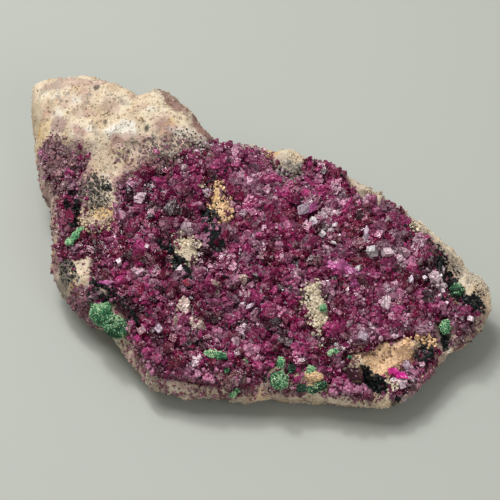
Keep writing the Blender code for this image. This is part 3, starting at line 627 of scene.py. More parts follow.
def rock_material():
    """Sandy stone: its stains, light and dark grains, white flecks and black specks."""
    finish = new_material("host_rock", ROCK_COLOURS["tan"], 0.9)
    finish.node_tree.nodes["Principled BSDF"].inputs["Specular IOR Level"].default_value = 0.3
    sand = speckle(finish, 0.24, 3.0, 1)
    colour = scaled(finish, attribute(finish, "stain", "Color"), ramp(finish, sand, 0.36, 0.64, 0.87, 1.05))
    flecks = ramp(finish, speckle(finish, 0.4, 1.0, 2), 0.66, 0.72, 0.0, 0.55)
    colour = mixed(finish, flecks, colour, opaque(ROCK_COLOURS["white"]))
    reach = ramp(finish, attribute(finish, "specks", "Fac"), 0.0, 1.0, 0.76, 0.56)
    specks = ramp(finish, difference(finish, speckle(finish, 0.34, 2.0, 3), reach), 0.0, 0.05, 0.0, 0.9)
    colour = mixed(finish, specks, colour, opaque(ROCK_COLOURS["black"]))
    surface_input(finish, "Base Color", colour)
    surface_input(finish, "Roughness", ramp(finish, sand, 0.3, 0.7, 0.95, 0.7))
    surface_input(finish, "Normal", bump(finish, sand, 0.11))
    return finish


def add_piece(piece, nodes=()):
    """Attaches a piece of the stone to the root, and hides the solids that it stands for."""
    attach(piece, "root")
    if nodes:
        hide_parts(*nodes)


def broken(points):
    """How far the stone's surface stands out: broken relief with sharp crests, and small knobs."""
    crests = 0.5 - 2.0 * np.abs(rough(points, CREST_SIZE, 2, 15))
    return (BROKEN_DEPTH * rough(points, BROKEN_SIZE, 4, 11) + CREST_DEPTH * crests
            + KNOB_DEPTH * rough(points, KNOB_SIZE, 3, 21))


rock_points, rock_faces = rock_shape()
rock_normals = face_normals(rock_points, rock_faces)
rock_points = rock_points + rock_normals * broken(rock_points)[:, None]
rock_points[:, 2] = np.maximum(rock_points[:, 2], 0.0)
rock_finish = rock_material()
rock = make_piece("rock", rock_points, rock_faces, rock_finish)
rock.data.shade_smooth()
keep(rock, "stain", "FLOAT_COLOR", rock_colours(rock_points))
keep(rock, "specks", "FLOAT", speck_density(rock_points))
add_piece(rock, ["matrix"])


# The bed of the calcite.
# The crystals' feet are grown into one crust, which follows the rock in low hummocks and thins
# out to nothing at its ragged edge. It is tinted near-black magenta: painted shade in the gaps
# between the crystals.
BED_COLUMNS, BED_ROWS = 140, 92
BED_INSET = 0.035         # share of the way in from the rim
BED_SINK = 0.30           # below the level where the crystals stand
BED_THICKNESS = 1.2
BED_EDGE = 0.1            # thickness where it runs out under the rock
BED_HIDDEN = 0.75         # below the rock's surface where there is no crust
BED_START, BED_FADE = 0.4, 0.8       # how far outside the crust it starts, and over what distance it comes up
CRUST_START, CRUST_FADE = 0.6, 0.9   # the same for the level where the crystals stand
HUMMOCK, HUMMOCK_SIZE = 0.6, 3.4
CRUST_WANDER, WANDER_SIZE = 1.5, 1.6
CRUST_REACH = [           # centre, half length, half width, turn, millimetres gained by the crust
    (-7.5, -22, 9, 2, -3, 1.5), (-16.8, -16.3, 5, 1.8, -58, 1.7), (-22.8, -10.6, 4.4, 2.3, -38, 4),
    (21.8, -16.2, 3, 1.5, 8, -3), (13.4, -18.4, 1.6, 1.2, 0, -0.8), (-9.8, -3, 2.4, 2.6, 0, -1),
    (-5, 4, 1.6, 3.6, 8, -0.9), (7.2, -9.8, 1.2, 2.2, 0, -0.5), (8.4, -12.8, 1.2, 2, 0, -0.7),
    (8.7, -9, 1, 1, 0, 1.2), (6, -13.6, 0.9, 1.4, 0, 1), (4.8, 9.6, 1.8, 2.4, 0, -1.2),
    (-30.4, 10, 1.6, 5, 8, 1.6), (-28.2, 1, 1.5, 6, 0, 1.4), (-17, -11.6, 4, 2.4, -48, 3.4),
    (17.6, -17.6, 5, 1.5, 20, -1.3), (15.2, 7.3, 4.4, 2.4, -36, -5), (22, 1.4, 2.6, 1.5, -45, -3.2),
    (-25.8, -6.6, 1.6, 2.2, 20, 1.4), (8.6, -14.6, 1.2, 1.6, 0, -1.6), (4.8, -20.4, 4.6, 2, 0, 3),
    (17.4, -21.4, 1.3, 2.2, 0, -1.9), (5, -22.2, 1.7, 1.2, 0, 3.4), (11.6, -23.2, 4.2, 1.3, 0, 2.4),
    (-15, -18.4, 4.6, 1.6, -52, 1.2), (-8.6, -21.8, 5, 1.4, -8, 0.9),
]
REACH_SHAPE = 1.6
GAIN_SHARE = 0.35         # share of that gain over which the crust is as thick as elsewhere
STREAK_STRETCH = (4.5, 4.5, 1.1)     # streaks to a millimetre along each of a crystal's directions
# shadow, a near-black wine, is partly the own colour of a few dark crystals and partly painted shade in the
# crust's crevices and hollows.
CALCITE_COLOURS = named_colours(
    deep="82124c", magenta="aa3672", rose="c2769a", pale="e2c6d0", wine="78163a", brown="8e6266",
    dusky="8c5e72", lilac="c4589c", clear="c8b0c2", red="b03454", white="f2e8ec", glass="d6d2d4",
    neon="e82a9e", shadow="3c0a20", sandy="c8aca2",
)


def crust_gain(x, y):
    """How much farther the crust reaches at a point, or less far where it is negative."""
    return ellipse_sum(CRUST_REACH, x, y, REACH_SHAPE)


def wandering_cover(x, y):
    """How far inside the crust a point is, with an edge that wanders in and out."""
    return crust_cover(x, y) + crust_gain(x, y) + CRUST_WANDER * rough(on_plan(x, y), WANDER_SIZE, 4, 61)


def crust_top(x, y):
    """The level where the crystals stand: the rock, the crust's depth, its swells and hummocks."""
    cover = crust_cover(x, y)
    depth = CRUST_EDGE_DEPTH + (CRUST_DEPTH - CRUST_EDGE_DEPTH) * ease(cover / EDGE_FADE)
    gain = GAIN_SHARE * np.maximum(crust_gain(x, y), 0.0)
    depth = (depth + CRUST_GAP) * ease((cover + gain + CRUST_START) / CRUST_FADE)
    swell = CRUST_SWELL * lumps(x, y, CRUST_SWELL_SIZE, 2.5) * ease(cover / CRUST_SWELL_FADE)
    hummocks = HUMMOCK * rough(on_plan(x, y), HUMMOCK_SIZE, 3, 65) * ease(cover)
    rock_level = rock_top(x, y)
    bare = broken(np.column_stack([x, y, rock_level])) * ease(0.5 - cover)
    return rock_level + bare + depth + swell + hummocks


def bed_shape():
    """The bed as a closed sheet: a grid on the face and its copy below, joined round their edge."""
    plan = np.array(MIDDLE) + (face_grid(BED_COLUMNS, BED_ROWS) - MIDDLE) * (1.0 - BED_INSET)
    x, y = plan.T
    shown = ease((wandering_cover(x, y) + BED_START) / BED_FADE)
    hidden = rock_top(x, y) - BED_HIDDEN
    level = hidden + (crust_top(x, y) - BED_SINK - hidden) * shown
    top = np.column_stack([plan, level])
    faces = grid_faces(BED_COLUMNS + 1, BED_ROWS + 1)
    border = grid_border(BED_COLUMNS, BED_ROWS)
    count = len(top)
    bottom = np.column_stack([plan, level - BED_EDGE - BED_THICKNESS * shown])
    points = np.vstack([top, bottom])
    return points, np.vstack([faces, faces[:, ::-1] + count, band_faces(border, border + count)])


def calcite_material():
    """Glassy calcite: each crystal's own tint, lighter and darker veils inside it, thin pale streaks painted
    on as glints, and smooth and dull faces.
    """
    finish = new_material("cobalt_calcite", CALCITE_COLOURS["magenta"], 0.2)
    shader = finish.node_tree.nodes["Principled BSDF"]
    shader.inputs["IOR"].default_value = 1.6
    shader.inputs["Specular IOR Level"].default_value = 0.24
    shader.inputs["Transmission Weight"].default_value = 0.35
    inner = attribute(finish, "inner", "Vector")
    stretch = add_node(finish, "ShaderNodeVectorMath", {0: inner, 1: STREAK_STRETCH}, operation="MULTIPLY")[0]
    glint_streaks = add_node(finish, "ShaderNodeTexNoise", {"Vector": stretch, "Scale": 1.0, "Detail": 2.0,
                                                      "Roughness": 0.5})[0]
    veil = speckle(finish, 0.5, 4.0, 5)
    tint = attribute(finish, "tint", "Color")
    colour = scaled(finish, tint, ramp(finish, veil, 0.36, 0.64, 0.72, 1.25))
    colour = scaled(finish, colour, ramp(finish, glint_streaks, 0.36, 0.62, 0.5, 1.35))
    # Painted glints: thin pale streaks mixed into the crystals' colour.
    pale = opaque(CALCITE_COLOURS["pale"])
    colour = mixed(finish, ramp(finish, glint_streaks, 0.62, 0.70, 0.0, 0.78), colour, pale)
    surface_input(finish, "Base Color", colour)
    surface_input(finish, "Roughness", ramp(finish, veil, 0.35, 0.65, 0.10, 0.35))
    surface_input(finish, "Normal", bump(finish, glint_streaks, 0.07))
    return finish


bed_points, bed_faces = bed_shape()
calcite_finish = calcite_material()
bed = make_piece("druse_bed", bed_points, bed_faces, calcite_finish)
bed.data.shade_smooth()
# Painted shade: the bed between the crystals goes from near-black to deep magenta in patches.
bed_shade_tint = towards(np.tile(CALCITE_COLOURS["shadow"], (len(bed_points), 1)),
                   CALCITE_COLOURS["deep"], 0.5 + rough(bed_points, 1.5, 3, 71))
keep(bed, "tint", "FLOAT_COLOR", bed_shade_tint)
keep(bed, "inner", "FLOAT_VECTOR", bed_points)
add_piece(bed, ["calcite_crust"])


# The calcite crystals.
# Rhombohedral blocks and a few steep teeth of magenta calcite, grown into each other with their
# feet in the bed: large ones where the solid has them, and smaller ones in all the gaps between.
CRYSTALS, CRYSTAL_TRIES = 155, 9000
SMALLEST, LARGEST, SIZE_FALL = 0.85, 1.5, 0.45
CRYSTAL_SPACING, CRYSTAL_SINK, CRYSTAL_TILT = 0.82, 0.15, 50.0
EDGE_ROOM, EDGE_ROOM_SHARE, GAP = 0.35, 0.45, 0.35
SITE_REACH = 31.0, 24.0   # of the random places, either way from the middle
SITE_SEED, TURN_SEED, SIZE_SEED = 4208, 4210, 80
CRYSTAL_FORMS = {         # half height, and how far the side corners zigzag as a share of it
    "block": (0.95, 0.33), "flat": (0.74, 0.33), "tooth": (1.7, 0.12),
}
FORM_MIX = ["block", "block", "flat", "tooth"]
LAYERS = {                # spacing, least and greatest radius, share left out, spread, random seed
    "medium": (1.05, 0.50, 0.98, 0.10, 0.8, 81),
    "small": (0.56, 0.20, 0.44, 0.05, 0.85, 83),
    "fine": (0.40, 0.11, 0.22, 0.30, 1.0, 85),
}
LATTICE_SIZE = 64.0, 50.0            # of the lattice that they stand on, with its middle at the origin
LATTICE_ROW, LATTICE_SHIFT = 0.866, 0.4     # between its rows, and how far each place is moved, as shares
LARGE_SHARE, LARGE_STRETCH = 0.85, (0.8, 1.1)
NAMED_ROOM = 0.1          # kept clear round the crystals that stand out
NAMED_LIFT, NAMED_RISE = 0.6, 0.3     # as a share of the half width, and in the crust
FORM_SHARES = [0.6, 0.3, 0.1]
EDGE_SCATTER = 1.7        # crystals thin out over this distance outside the crust
EDGE_SIZE = 0.55          # size of the crystals at the crust's edge, as a share of full size
LAYER_LIFT = -0.6, 0.25   # how far their middles stand over the bed, as shares of their radius
RIM_CLEAR = 0.35
FINE_LEFT, FINE_REACH = 0.78, 30.0   # size of the crystals at the left, and how far they grow from there
STEP_RADII = 0.14, 0.46
STEPS_PER_AREA = 9.0      # small crystals on a larger one, for a radius of one millimetre
STEP_TURN = 0.05          # how far they are turned from it
STEP_PAINTED_GLINT = 0.3           # greatest share of pale in their tint, a painted glint
STEP_LEAST, STEP_GAIN = 0.6, 0.5     # they are larger on a larger crystal
STEP_STRETCH, STEP_SHADE = (0.7, 1.4), (0.75, 1.25)
STRETCH = 0.75, 1.3       # how much longer or shorter a crystal is each way
CRYSTAL_CORNERS = 8
INNER_SHIFT = 7.0         # sets the streaks of one crystal apart from the next one's
RIM_GROWTH = [            # where crystals grow on over the rim, how far down the side, and how thickly
    (-8.5, -22.3, 9.5, 2.4, -3, 0.7, 0.38), (-17, -16.8, 6, 2.6, -58, 0.7, 0.42),
    (-23.6, -10.2, 4.2, 2.4, -38, 2.4, 1), (-30.8, 10, 2.2, 5.5, 0, 2, 0.45),
    (-28.6, 1, 2.2, 6.5, 0, 1.6, 0.45), (11.6, -23.8, 5.2, 1.6, 0, -0.2, 0.6),
    (-3.8, -22.6, 4.8, 1.5, 0, 0.4, 0.7), (3.6, -22.9, 3.4, 1.4, 0, 0.1, 0.6),
    (22.5, -20.5, 4, 2.2, 45, 0.9, 0.6), (28.5, -14.6, 3, 2.2, 40, 0.9, 0.45),
]
RIM_TRIES, RIM_RADII, RIM_FADE, RIM_SEED = 56000, (0.12, 0.34), 0.7, 87
RIM_SCATTER = 0.2         # how far they are moved aside on the surface
RIM_SHAPE, RIM_WIDTH, RIM_WANDER_SIZE = 3.0, 1.2, 1.5
RIM_LEAST, RIM_GAIN = 0.6, 0.9       # they are larger where they stand thickly
RIM_LIFT, RIM_LEAN = (-0.6, 0.1), 0.6
RIM_BROWN = 0.2, 0.9      # shares of brown in their tint
MALACHITE = {             # the lumps of the solids: x, y, half length and half height
    "malachite_big": [(-19.5, -12.2, 3.05, 1.85)],
    "malachite_pale": [(-24.5, -1.6, 1.45, 0.6)],
    "malachite_streak": [(-5.4, -19.1, 1.85, 0.5)],
    "malachite_cluster": [(3.0, -21.9, 1.35, 1.35), (3.1, -20.0, 0.95, 1.15), (4.3, -20.5, 0.8, 0.95)],
    "malachite_knob": [(7.0, -20.7, 0.95, 0.85)],
    "malachite_band": [(6.8, -22.4, 2.1, 0.95)],
    "malachite_speck": [(10.0, -18.9, 0.95, 0.7)],
    "malachite_bead": [(8.5, -11.6, 0.62, 0.6)],
    "malachite_ball": [(26.8, -8.4, 1.1, 1.15)],
    "malachite_oval": [(25.0, -14.0, 0.85, 1.05)],
}
LUMP_LIFT = 0.55          # share of a lump's height at which its middle stands over its seat
LUMP_CLEAR = 0.78         # share of a lump's size inside which no crystals stand
GROWTHS = {               # the lumps as grown: x, y, half sizes, turn, raise over the seat, and shade
    "malachite_big": [(-20.6, -11.5, 2.1, 1.75, 1.8, -46, 0.5, 0.7),
                      (-18.8, -13.4, 1.95, 1.6, 1.7, -38, 0.35, 0.58)],
    "malachite_pale": [(-24.4, -1.15, 1.65, 0.5, 0.55, 56, -0.55, 0.95),
                       (-25.3, -2.2, 0.6, 0.55, 0.5, 0, -0.85, 0.9)],
    "malachite_streak": [(-5.4, -19.2, 1.75, 0.6, 0.45, -14, -0.12, 0.66)],
    "malachite_cluster": [(2.9, -22.2, 1.2, 1.15, 1.2, 0, -0.6, 0.62),
                          (3.0, -19.9, 0.75, 0.65, 0.8, 0, 0.5, 0.9),
                          (4.6, -20.4, 0.65, 0.85, 0.8, 0, 0.0, 0.12)],
    "malachite_knob": [(7.1, -20.9, 0.72, 0.6, 0.65, 20, 0.0, 0.85)],
    "malachite_band": [(5.8, -22.55, 0.85, 0.6, 0.62, 10, -0.3, 0.2),
                       (7.2, -22.6, 0.9, 0.55, 0.6, 0, -0.4, 0.25),
                       (8.4, -22.5, 0.8, 0.65, 0.7, 15, 0.1, 0.34)],
    "malachite_speck": [(10.0, -18.8, 0.75, 0.65, 0.6, 0, -0.25, 0.85)],
    "malachite_bead": [(8.75, -11.8, 0.55, 0.52, 0.55, 0, -0.1, 0.85)],
    "malachite_ball": [(26.8, -8.6, 0.92, 0.92, 0.95, 0, -0.25, 0.12)],
    "malachite_oval": [(25.1, -13.6, 0.7, 1.15, 0.95, -12, -0.5, 0.74)],
}
CALCITE_MIX = {           # shares of the crystals, from the darkest patches to the palest
    "shadow": 0.06, "wine": 0.14, "deep": 0.30, "magenta": 0.27, "dusky": 0.12, "rose": 0.10, "pale": 0.01,
}
PATCH_SIZE, PATCH_MIX, LONE_MIX = 2.2, 1.6, 0.28     # patches of like crystals, and lone ones
PATCH_SHADE, SHADE_SIZE = 0.45, 4.0
LONE_SHADE = 0.75, 1.2
LEAN_SIZE = 3.2           # crystals closer than this lean and turn alike
LEAN_ALIKE, LEAN_ALONE, LEAST_UPRIGHT = 2.2, 0.3, 0.05
SPIN_ALIKE, SPIN_ALONE = 6.0, 0.35
SLOPE_STEP = 0.3          # over which the crust's slope is measured
FULL_TURN = 6.3
ZONE_SEED = 200           # of the first of these zones
# The rows in shadow are partly dark crystals and partly painted shade in hollows and crevices, such as the
# gap beside the big malachite.
CALCITE_ZONES = [         # centre, half length, half width, turn, colour, share of crystals
    (-28, 9.5, 2.8, 5, 0, "brown", 0.75), (-28, 3, 2, 6, 0, "wine", 0.4),
    (-12.5, 3.9, 4.6, 4.3, 0, "deep", 0.75), (1.2, -11.6, 5.2, 5, 0, "deep", 0.6),
    (-12.5, 3.6, 4.6, 4.3, 0, "shadow", 0.3), (-12.5, 10.8, 6.5, 1.6, 8, "brown", 0.55),
    (4.9, 4, 1.5, 2, 0, "deep", 0.7), (-4.3, -5.9, 3.8, 3.9, 0, "rose", 0.3),
    (11.8, -6.5, 1.8, 3, 15, "lilac", 0.32), (11.3, -22.9, 2.8, 1.5, 0, "rose", 0.55),
    (22.3, -13.8, 2.8, 2.2, 0, "dusky", 0.55), (26.8, -13.9, 2.4, 3.3, 0, "dusky", 0.45),
    (3, -16.1, 2.2, 1.8, 0, "shadow", 0.8), (-10.9, -16.8, 1.4, 1, 0, "wine", 0.8),
    (-15.2, -15.7, 1, 1.2, 0, "wine", 0.8), (-6.9, -21.6, 6, 1.5, 0, "rose", 0.35),
    (9.1, 8.8, 1.6, 1.6, 0, "shadow", 0.6), (6.8, 2.5, 1.4, 1.6, 0, "clear", 0.45),
    (1.2, 3.1, 0.8, 1.5, 0, "clear", 0.35), (8.6, -0.6, 1.1, 1.3, 0, "pale", 0.5),
    (10.4, -1, 1, 1, 0, "pale", 0.22), (14.9, -0.8, 0.5, 1.6, 0, "pale", 0.5),
    (23.9, -6.6, 3.4, 1.7, -63, "shadow", 0.45), (17, -2.2, 4, 3, 0, "dusky", 0.3),
    (-9, -13.3, 2.4, 3, 0, "sandy", 0.17), (-2.8, -7.7, 0.9, 0.6, 0, "sandy", 0.4),
    (-1.8, -3.9, 0.8, 0.6, 0, "sandy", 0.25), (2, -4, 0.9, 1.1, 0, "sandy", 0.3),
    (-6.4, -9.6, 1.2, 1.2, 0, "sandy", 0.14), (11.5, 9, 1.2, 0.9, -30, "lilac", 0.5),
    (-2.6, 10.2, 3.8, 3.2, 0, "magenta", 0.5), (1.8, 1, 5, 4.6, 0, "rose", 0.14),
    (0.4, -12, 0.9, 1.6, -40, "clear", 0.6), (-5.4, -14, 1, 0.8, 0, "rose", 0.5),
    (23.9, -6.6, 3.2, 1.5, -63, "pale", 0.34), (-16.8, -12, 2.8, 1.6, -50, "shadow", 0.7),
    (-22.6, -10.4, 3.5, 2, -38, "dusky", 0.5), (-25.8, -6.6, 1.8, 2.4, 20, "dusky", 0.6),
    (20.8, -21.4, 2, 2.6, 0, "rose", 0.45), (20, -22.2, 1.6, 1.6, 0, "pale", 0.4),
    (5, -21.4, 3.6, 2, 0, "magenta", 0.4), (10.4, -23, 3.6, 1.7, 0, "magenta", 0.5),
    (0.5, -10.4, 4.5, 3.9, 0, "shadow", 0.22), (12.2, -23.2, 2.2, 1.3, 0, "pale", 0.3),
    (11.6, -22.8, 2.2, 1.3, 0, "rose", 0.4), (20.4, -20.8, 2.2, 2.8, 30, "rose", 0.4),
    (19.4, -22.6, 2, 1.8, 20, "pale", 0.3), (13, -22.9, 2.4, 1.4, 0, "rose", 0.5),
    (13.9, 2.4, 4.2, 3.4, 0, "wine", 0.3), (-4, -22.6, 5.2, 1.2, 0, "brown", 0.5),
    (24, -7.6, 2, 4, 20, "shadow", 0.3),
]
# The white and glass crystals are coloured near white as painted glints: the mirrored light on their faces.
NAMED_CRYSTALS = {        # form and colour: x, y, half width, half length, heading and lean in degrees
    ("block", "neon"): [(18, -19.9, 0.62, 1, -38, 84), (18.9, -20.9, 0.6, 1.3, -30, 80)],
    ("block", "shadow"): [(12.8, -21.6, 1.15, 1.6, 160, 55), (9.1, 8.2, 0.6, 0.65, 200, 60),
        (3.9, -20.8, 0.4, 0.6, 60, 55)],
    ("block", "deep"): [(1.4, -13.6, 1, 1.5, 8, 66), (5, 4.2, 0.9, 1.3, 140, 60),
        (4.4, -21.5, 0.45, 0.6, 100, 50), (5.5, -20.9, 0.5, 0.65, 160, 45),
        (2.2, -20, 0.4, 0.6, 120, 50)],
    ("flat", "clear"): [(-0.9, -12.3, 0.34, 1.2, 40, 84)],
    ("flat", "pale"): [(-1.9, -12, 0.3, 0.9, 35, 84), (10, -0.7, 0.4, 0.7, 20, 80)],
    ("block", "clear"): [(6.4, 2.6, 0.9, 1.3, 40, 62), (7.9, 0.2, 0.55, 0.75, 60, 60),
        (14.8, -1, 0.45, 1.4, 88, 82), (13.9, -16.3, 0.8, 0.9, 10, 60), (20.6, -8, 0.4, 0.9, 80, 50),
        (19.9, -19.2, 0.8, 0.8, 0, 20), (-13, -15.7, 0.7, 0.9, 90, 30), (22.4, -7.4, 0.4, 0.6, -20, 50)],
    ("block", "lilac"): [(7.4, 2.9, 0.7, 1.3, 40, 62), (-20.4, -8.4, 0.42, 1.5, 5, 86)],
    ("block", "white"): [(8.8, -1.4, 0.5, 0.85, -60, 60), (13.5, -6, 0.4, 0.9, 50, 80),
        (7.6, 1, 0.5, 0.8, -50, 70), (10.6, 0.3, 0.35, 0.6, 30, 70), (24.7, -6.7, 0.32, 0.5, 70, 50)],
    ("flat", "white"): [(10.2, -2.4, 0.26, 1, -38, 86)],
    ("block", "glass"): [(15.5, -3.9, 1, 0.95, 60, 50)],
    ("block", "pale"): [(17.4, -4.1, 0.72, 1.3, -28, 70), (28.4, -13.1, 0.6, 0.5, 0, 30),
        (-18.5, -5.6, 0.4, 0.7, 80, 50), (-14.8, -3.5, 0.4, 0.5, 0, 40), (23.3, -6.9, 0.42, 0.6, 20, 50),
        (25.1, -5, 0.36, 0.7, 100, 60), (24.1, -8.4, 0.34, 0.5, -40, 50),
        (24.4, -9.9, 0.34, 0.45, 60, 40), (25.3, -10.9, 0.3, 0.4, 0, 40),
        (23.2, -9.4, 0.3, 0.45, 140, 50)],
    ("block", "red"): [(-9.4, -8.6, 0.6, 0.6, 0, 20)],
    ("block", "wine"): [(-10.9, -16.8, 0.9, 0.8, 0, 30), (-15.2, -15.8, 0.8, 1, 80, 40),
        (13, -4.6, 0.4, 1.5, 8, 84), (6.1, -22.1, 0.34, 0.5, 20, 60), (4.5, -22.6, 0.4, 0.55, -20, 60),
        (6, -20.2, 0.4, 0.55, 80, 50)],
    ("block", "magenta"): [(5.2, -21.9, 0.55, 0.8, 30, 60), (6.4, -20.7, 0.36, 0.5, 0, 50),
        (1.9, -20.7, 0.45, 0.6, 200, 50)],
    ("block", "rose"): [(5.9, -21.4, 0.42, 0.6, -60, 50), (1.5, -21.5, 0.36, 0.5, 30, 60)],
    ("block", "dusky"): [(5.2, -22.9, 0.34, 0.45, 80, 50)],
}


def crystal_sites():
    """Places and radii of the large crystals: random places in order of falling radius, each kept
    where it stands clear of the edge and of the ones before it."""
    draw = np.random.default_rng(SITE_SEED)
    x, y = (draw.uniform(-reach, reach, CRYSTAL_TRIES) for reach in SITE_REACH)
    radius = LARGEST - (LARGEST - SMALLEST) * np.linspace(0.0, 1.0, CRYSTAL_TRIES) ** SIZE_FALL
    room = EDGE_ROOM + EDGE_ROOM_SHARE * radius
    free = (crust_cover(x, y) > room) & (edge_distance(x, y, RIM)[0] > room + EDGE_ROOM)
    for lump_row in MALACHITE.values():
        for lump_x, lump_y, reach, _ in lump_row:
            free &= np.hypot(x - lump_x, y - lump_y) > reach + radius + GAP
    kept = np.empty((0, 3))
    for site in np.column_stack([x, y, radius])[free]:
        apart = np.hypot(*(kept[:, :2] - site[:2]).T) / (kept[:, 2] + site[2])
        if apart.min(initial=np.inf) > CRYSTAL_SPACING:
            kept = np.vstack([kept, site])
        if len(kept) == CRYSTALS:
            break
    return kept


def form_corners(form):
    """A crystal's corners: two tips, and six side corners that step up and down in turn."""
    half, zigzag = CRYSTAL_FORMS[form]
    corners = [(0.0, 0.0, half), (0.0, 0.0, -half)]
    for side in range(6):
        angle = math.pi * side / 3.0
        corners.append((math.cos(angle), math.sin(angle), half * zigzag * (1.0 if side % 2 else -1.0)))
    return corners


def crystal_mesh(centres, frames, sizes, forms):
    """Many crystals as one mesh: each has its form's corners, times its sizes, turned by its frame
    of three directions and moved to its centre, and twelve triangles between them. It gives the
    points, the faces, and the corners in each crystal's own directions."""
    corners = np.array([form_corners(form) for form in CRYSTAL_FORMS])[forms] * sizes[:, None]
    points = centres[:, None] + np.einsum("nci,nij->ncj", corners, frames)
    side = np.arange(6)
    after = (side + 1) % 6
    crystal = np.vstack([np.column_stack([np.zeros(6, int), side + 2, after + 2]),
                         np.column_stack([np.ones(6, int), after + 2, side + 2])])
    faces = crystal[None] + CRYSTAL_CORNERS * np.arange(len(centres))[:, None, None]
    return points.reshape(-1, 3), faces.reshape(-1, 3), corners


def at_corners(values):
    """Each crystal's value once for each of its corners."""
    return np.repeat(values, CRYSTAL_CORNERS, axis=0)


def frames_about(axes, turns):
    """Three directions at right angles for each crystal, the third along its axis."""
    helper = np.where(np.abs(axes[:, 2:3]) < 0.9, (0.0, 0.0, 1.0), (1.0, 0.0, 0.0))
    first = unit(np.cross(helper, axes))
    second = np.cross(axes, first)
    cosine, sine = np.cos(turns)[:, None], np.sin(turns)[:, None]
    return np.stack([cosine * first + sine * second, cosine * second - sine * first, axes], axis=1)


def turned_at_random(axes, draw):
    """Frames about the axes, each turned by any angle."""
    return frames_about(axes, draw.uniform(0.0, FULL_TURN, len(axes)))


def grain_mesh(spots, axes, sizes, draw, form_shares=FORM_SHARES):
    """Grains of all forms as one mesh, each turned at random about its axis: points and faces."""
    frames = turned_at_random(axes, draw)
    return crystal_mesh(spots, frames, sizes, draw.choice(3, len(axes), p=form_shares))[:2]


def leaning_axes(x, y, spread, draw):
    """Axes square to the crust's surface, then pushed aside, neighbours much alike."""
    slope_x = (crust_top(x + SLOPE_STEP, y) - crust_top(x - SLOPE_STEP, y)) / (2.0 * SLOPE_STEP)
    slope_y = (crust_top(x, y + SLOPE_STEP) - crust_top(x, y - SLOPE_STEP)) / (2.0 * SLOPE_STEP)
    axes = unit(np.column_stack([-slope_x, -slope_y, np.ones(len(x))]))
    alike = np.column_stack([rough(on_plan(x, y), LEAN_SIZE, 2, seed) for seed in (91, 93, 95)])
    axes += spread * (LEAN_ALIKE * alike + LEAN_ALONE * draw.normal(size=(len(x), 3)))
    axes[:, 2] = np.abs(axes[:, 2]) + LEAST_UPRIGHT
    return unit(axes)


def spins(x, y, draw):
    """How far each crystal is turned about its axis, neighbours much alike."""
    return SPIN_ALIKE * rough(on_plan(x, y), LEAN_SIZE, 2, 97) + draw.normal(size=len(x)) * SPIN_ALONE


def scattered_places(spacing, draw):
    """Places on a lattice of equal triangles over the whole stone, each shifted at random."""
    width, depth = LATTICE_SIZE
    rows = int(depth / (spacing * LATTICE_ROW)) + 1
    columns = int(width / spacing) + 1
    row, column = np.meshgrid(np.arange(rows), np.arange(columns), indexing="ij")
    x = (column.ravel() + 0.5 * (row.ravel() % 2)) * spacing - 0.5 * width
    y = row.ravel() * spacing * LATTICE_ROW - 0.5 * depth
    shift_x, shift_y = spacing * draw.uniform(-LATTICE_SHIFT, LATTICE_SHIFT, (2, x.size))
    return x + shift_x, y + shift_y


def malachite_seat(node):
    """The level that a growth's lumps stand on, from the top of its solid."""
    height = max(lump[3] for lump in MALACHITE[node])
    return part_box(node)[1][2] / MM - (1.0 + LUMP_LIFT) * height


def clear_of_malachite(x, y):
    """True where a crystal on the crust wouldn't stand inside a lump of malachite."""
    clear = np.ones(len(x), bool)
    level = crust_top(x, y)
    for node, lump_row in GROWTHS.items():
        for centre_x, centre_y, length, width, height, turn, rise, _ in lump_row:
            plan = ellipse_distance(x, y, centre_x, centre_y, length, width, turn)
            above = (level - malachite_seat(node) - rise - LUMP_LIFT * height) / height
            clear &= np.hypot(plan, above) > LUMP_CLEAR
    return clear


def clear_of_named(x, y):
    """True where a crystal wouldn't cover one of those that stand out."""
    clear = np.ones(len(x), bool)
    for centre_x, centre_y, width, length, heading, lean in sum(NAMED_CRYSTALS.values(), []):
        along = length * math.sin(math.radians(lean)) + NAMED_ROOM
        clear &= ellipse_distance(x, y, centre_x, centre_y, along, width + NAMED_ROOM, heading) > 1.0
    return clear


def crystal_tints(x, y, draw):
    """A colour for each crystal: the crystals are ranked by patchy noise and coloured from the mix's
    darkest to its palest, then some take the colour of the zone that they stand in, and each is
    made a little lighter or darker."""
    plan = on_plan(x, y)
    palette = np.array([CALCITE_COLOURS[name] for name in CALCITE_MIX])
    shares = np.array(list(CALCITE_MIX.values()))
    middles = (shares.cumsum() - 0.5 * shares) / shares.sum()
    patchy = PATCH_MIX * rough(plan, PATCH_SIZE, 3, 73) + LONE_MIX * draw.normal(size=len(x))
    rank = patchy.argsort().argsort() / len(x)
    tints = np.column_stack([np.interp(rank, middles, palette[:, part]) for part in range(3)])
    for number, (*ellipse, name, share) in enumerate(CALCITE_ZONES):
        zone = share * zone_share(plan, ellipse, ZONE_SEED + number)
        taken = draw.uniform(size=len(x)) < zone
        tints = np.where(taken[:, None], CALCITE_COLOURS[name], tints)
    shade = 1.0 + PATCH_SHADE * rough(plan, SHADE_SIZE, 3, 77)
    return tints * (shade * draw.uniform(*LONE_SHADE, len(x)))[:, None]


def nudged(frames, draw):
    """Frames of three directions, each turned a little at random."""
    axes = unit(frames[:, 2] + STEP_TURN * draw.normal(size=(len(frames), 3)))
    first = frames[:, 0] + STEP_TURN * draw.normal(size=(len(frames), 3))
    first = unit(first - (first * axes).sum(axis=1)[:, None] * axes)
    return np.stack([first, np.cross(axes, first), axes], axis=1)


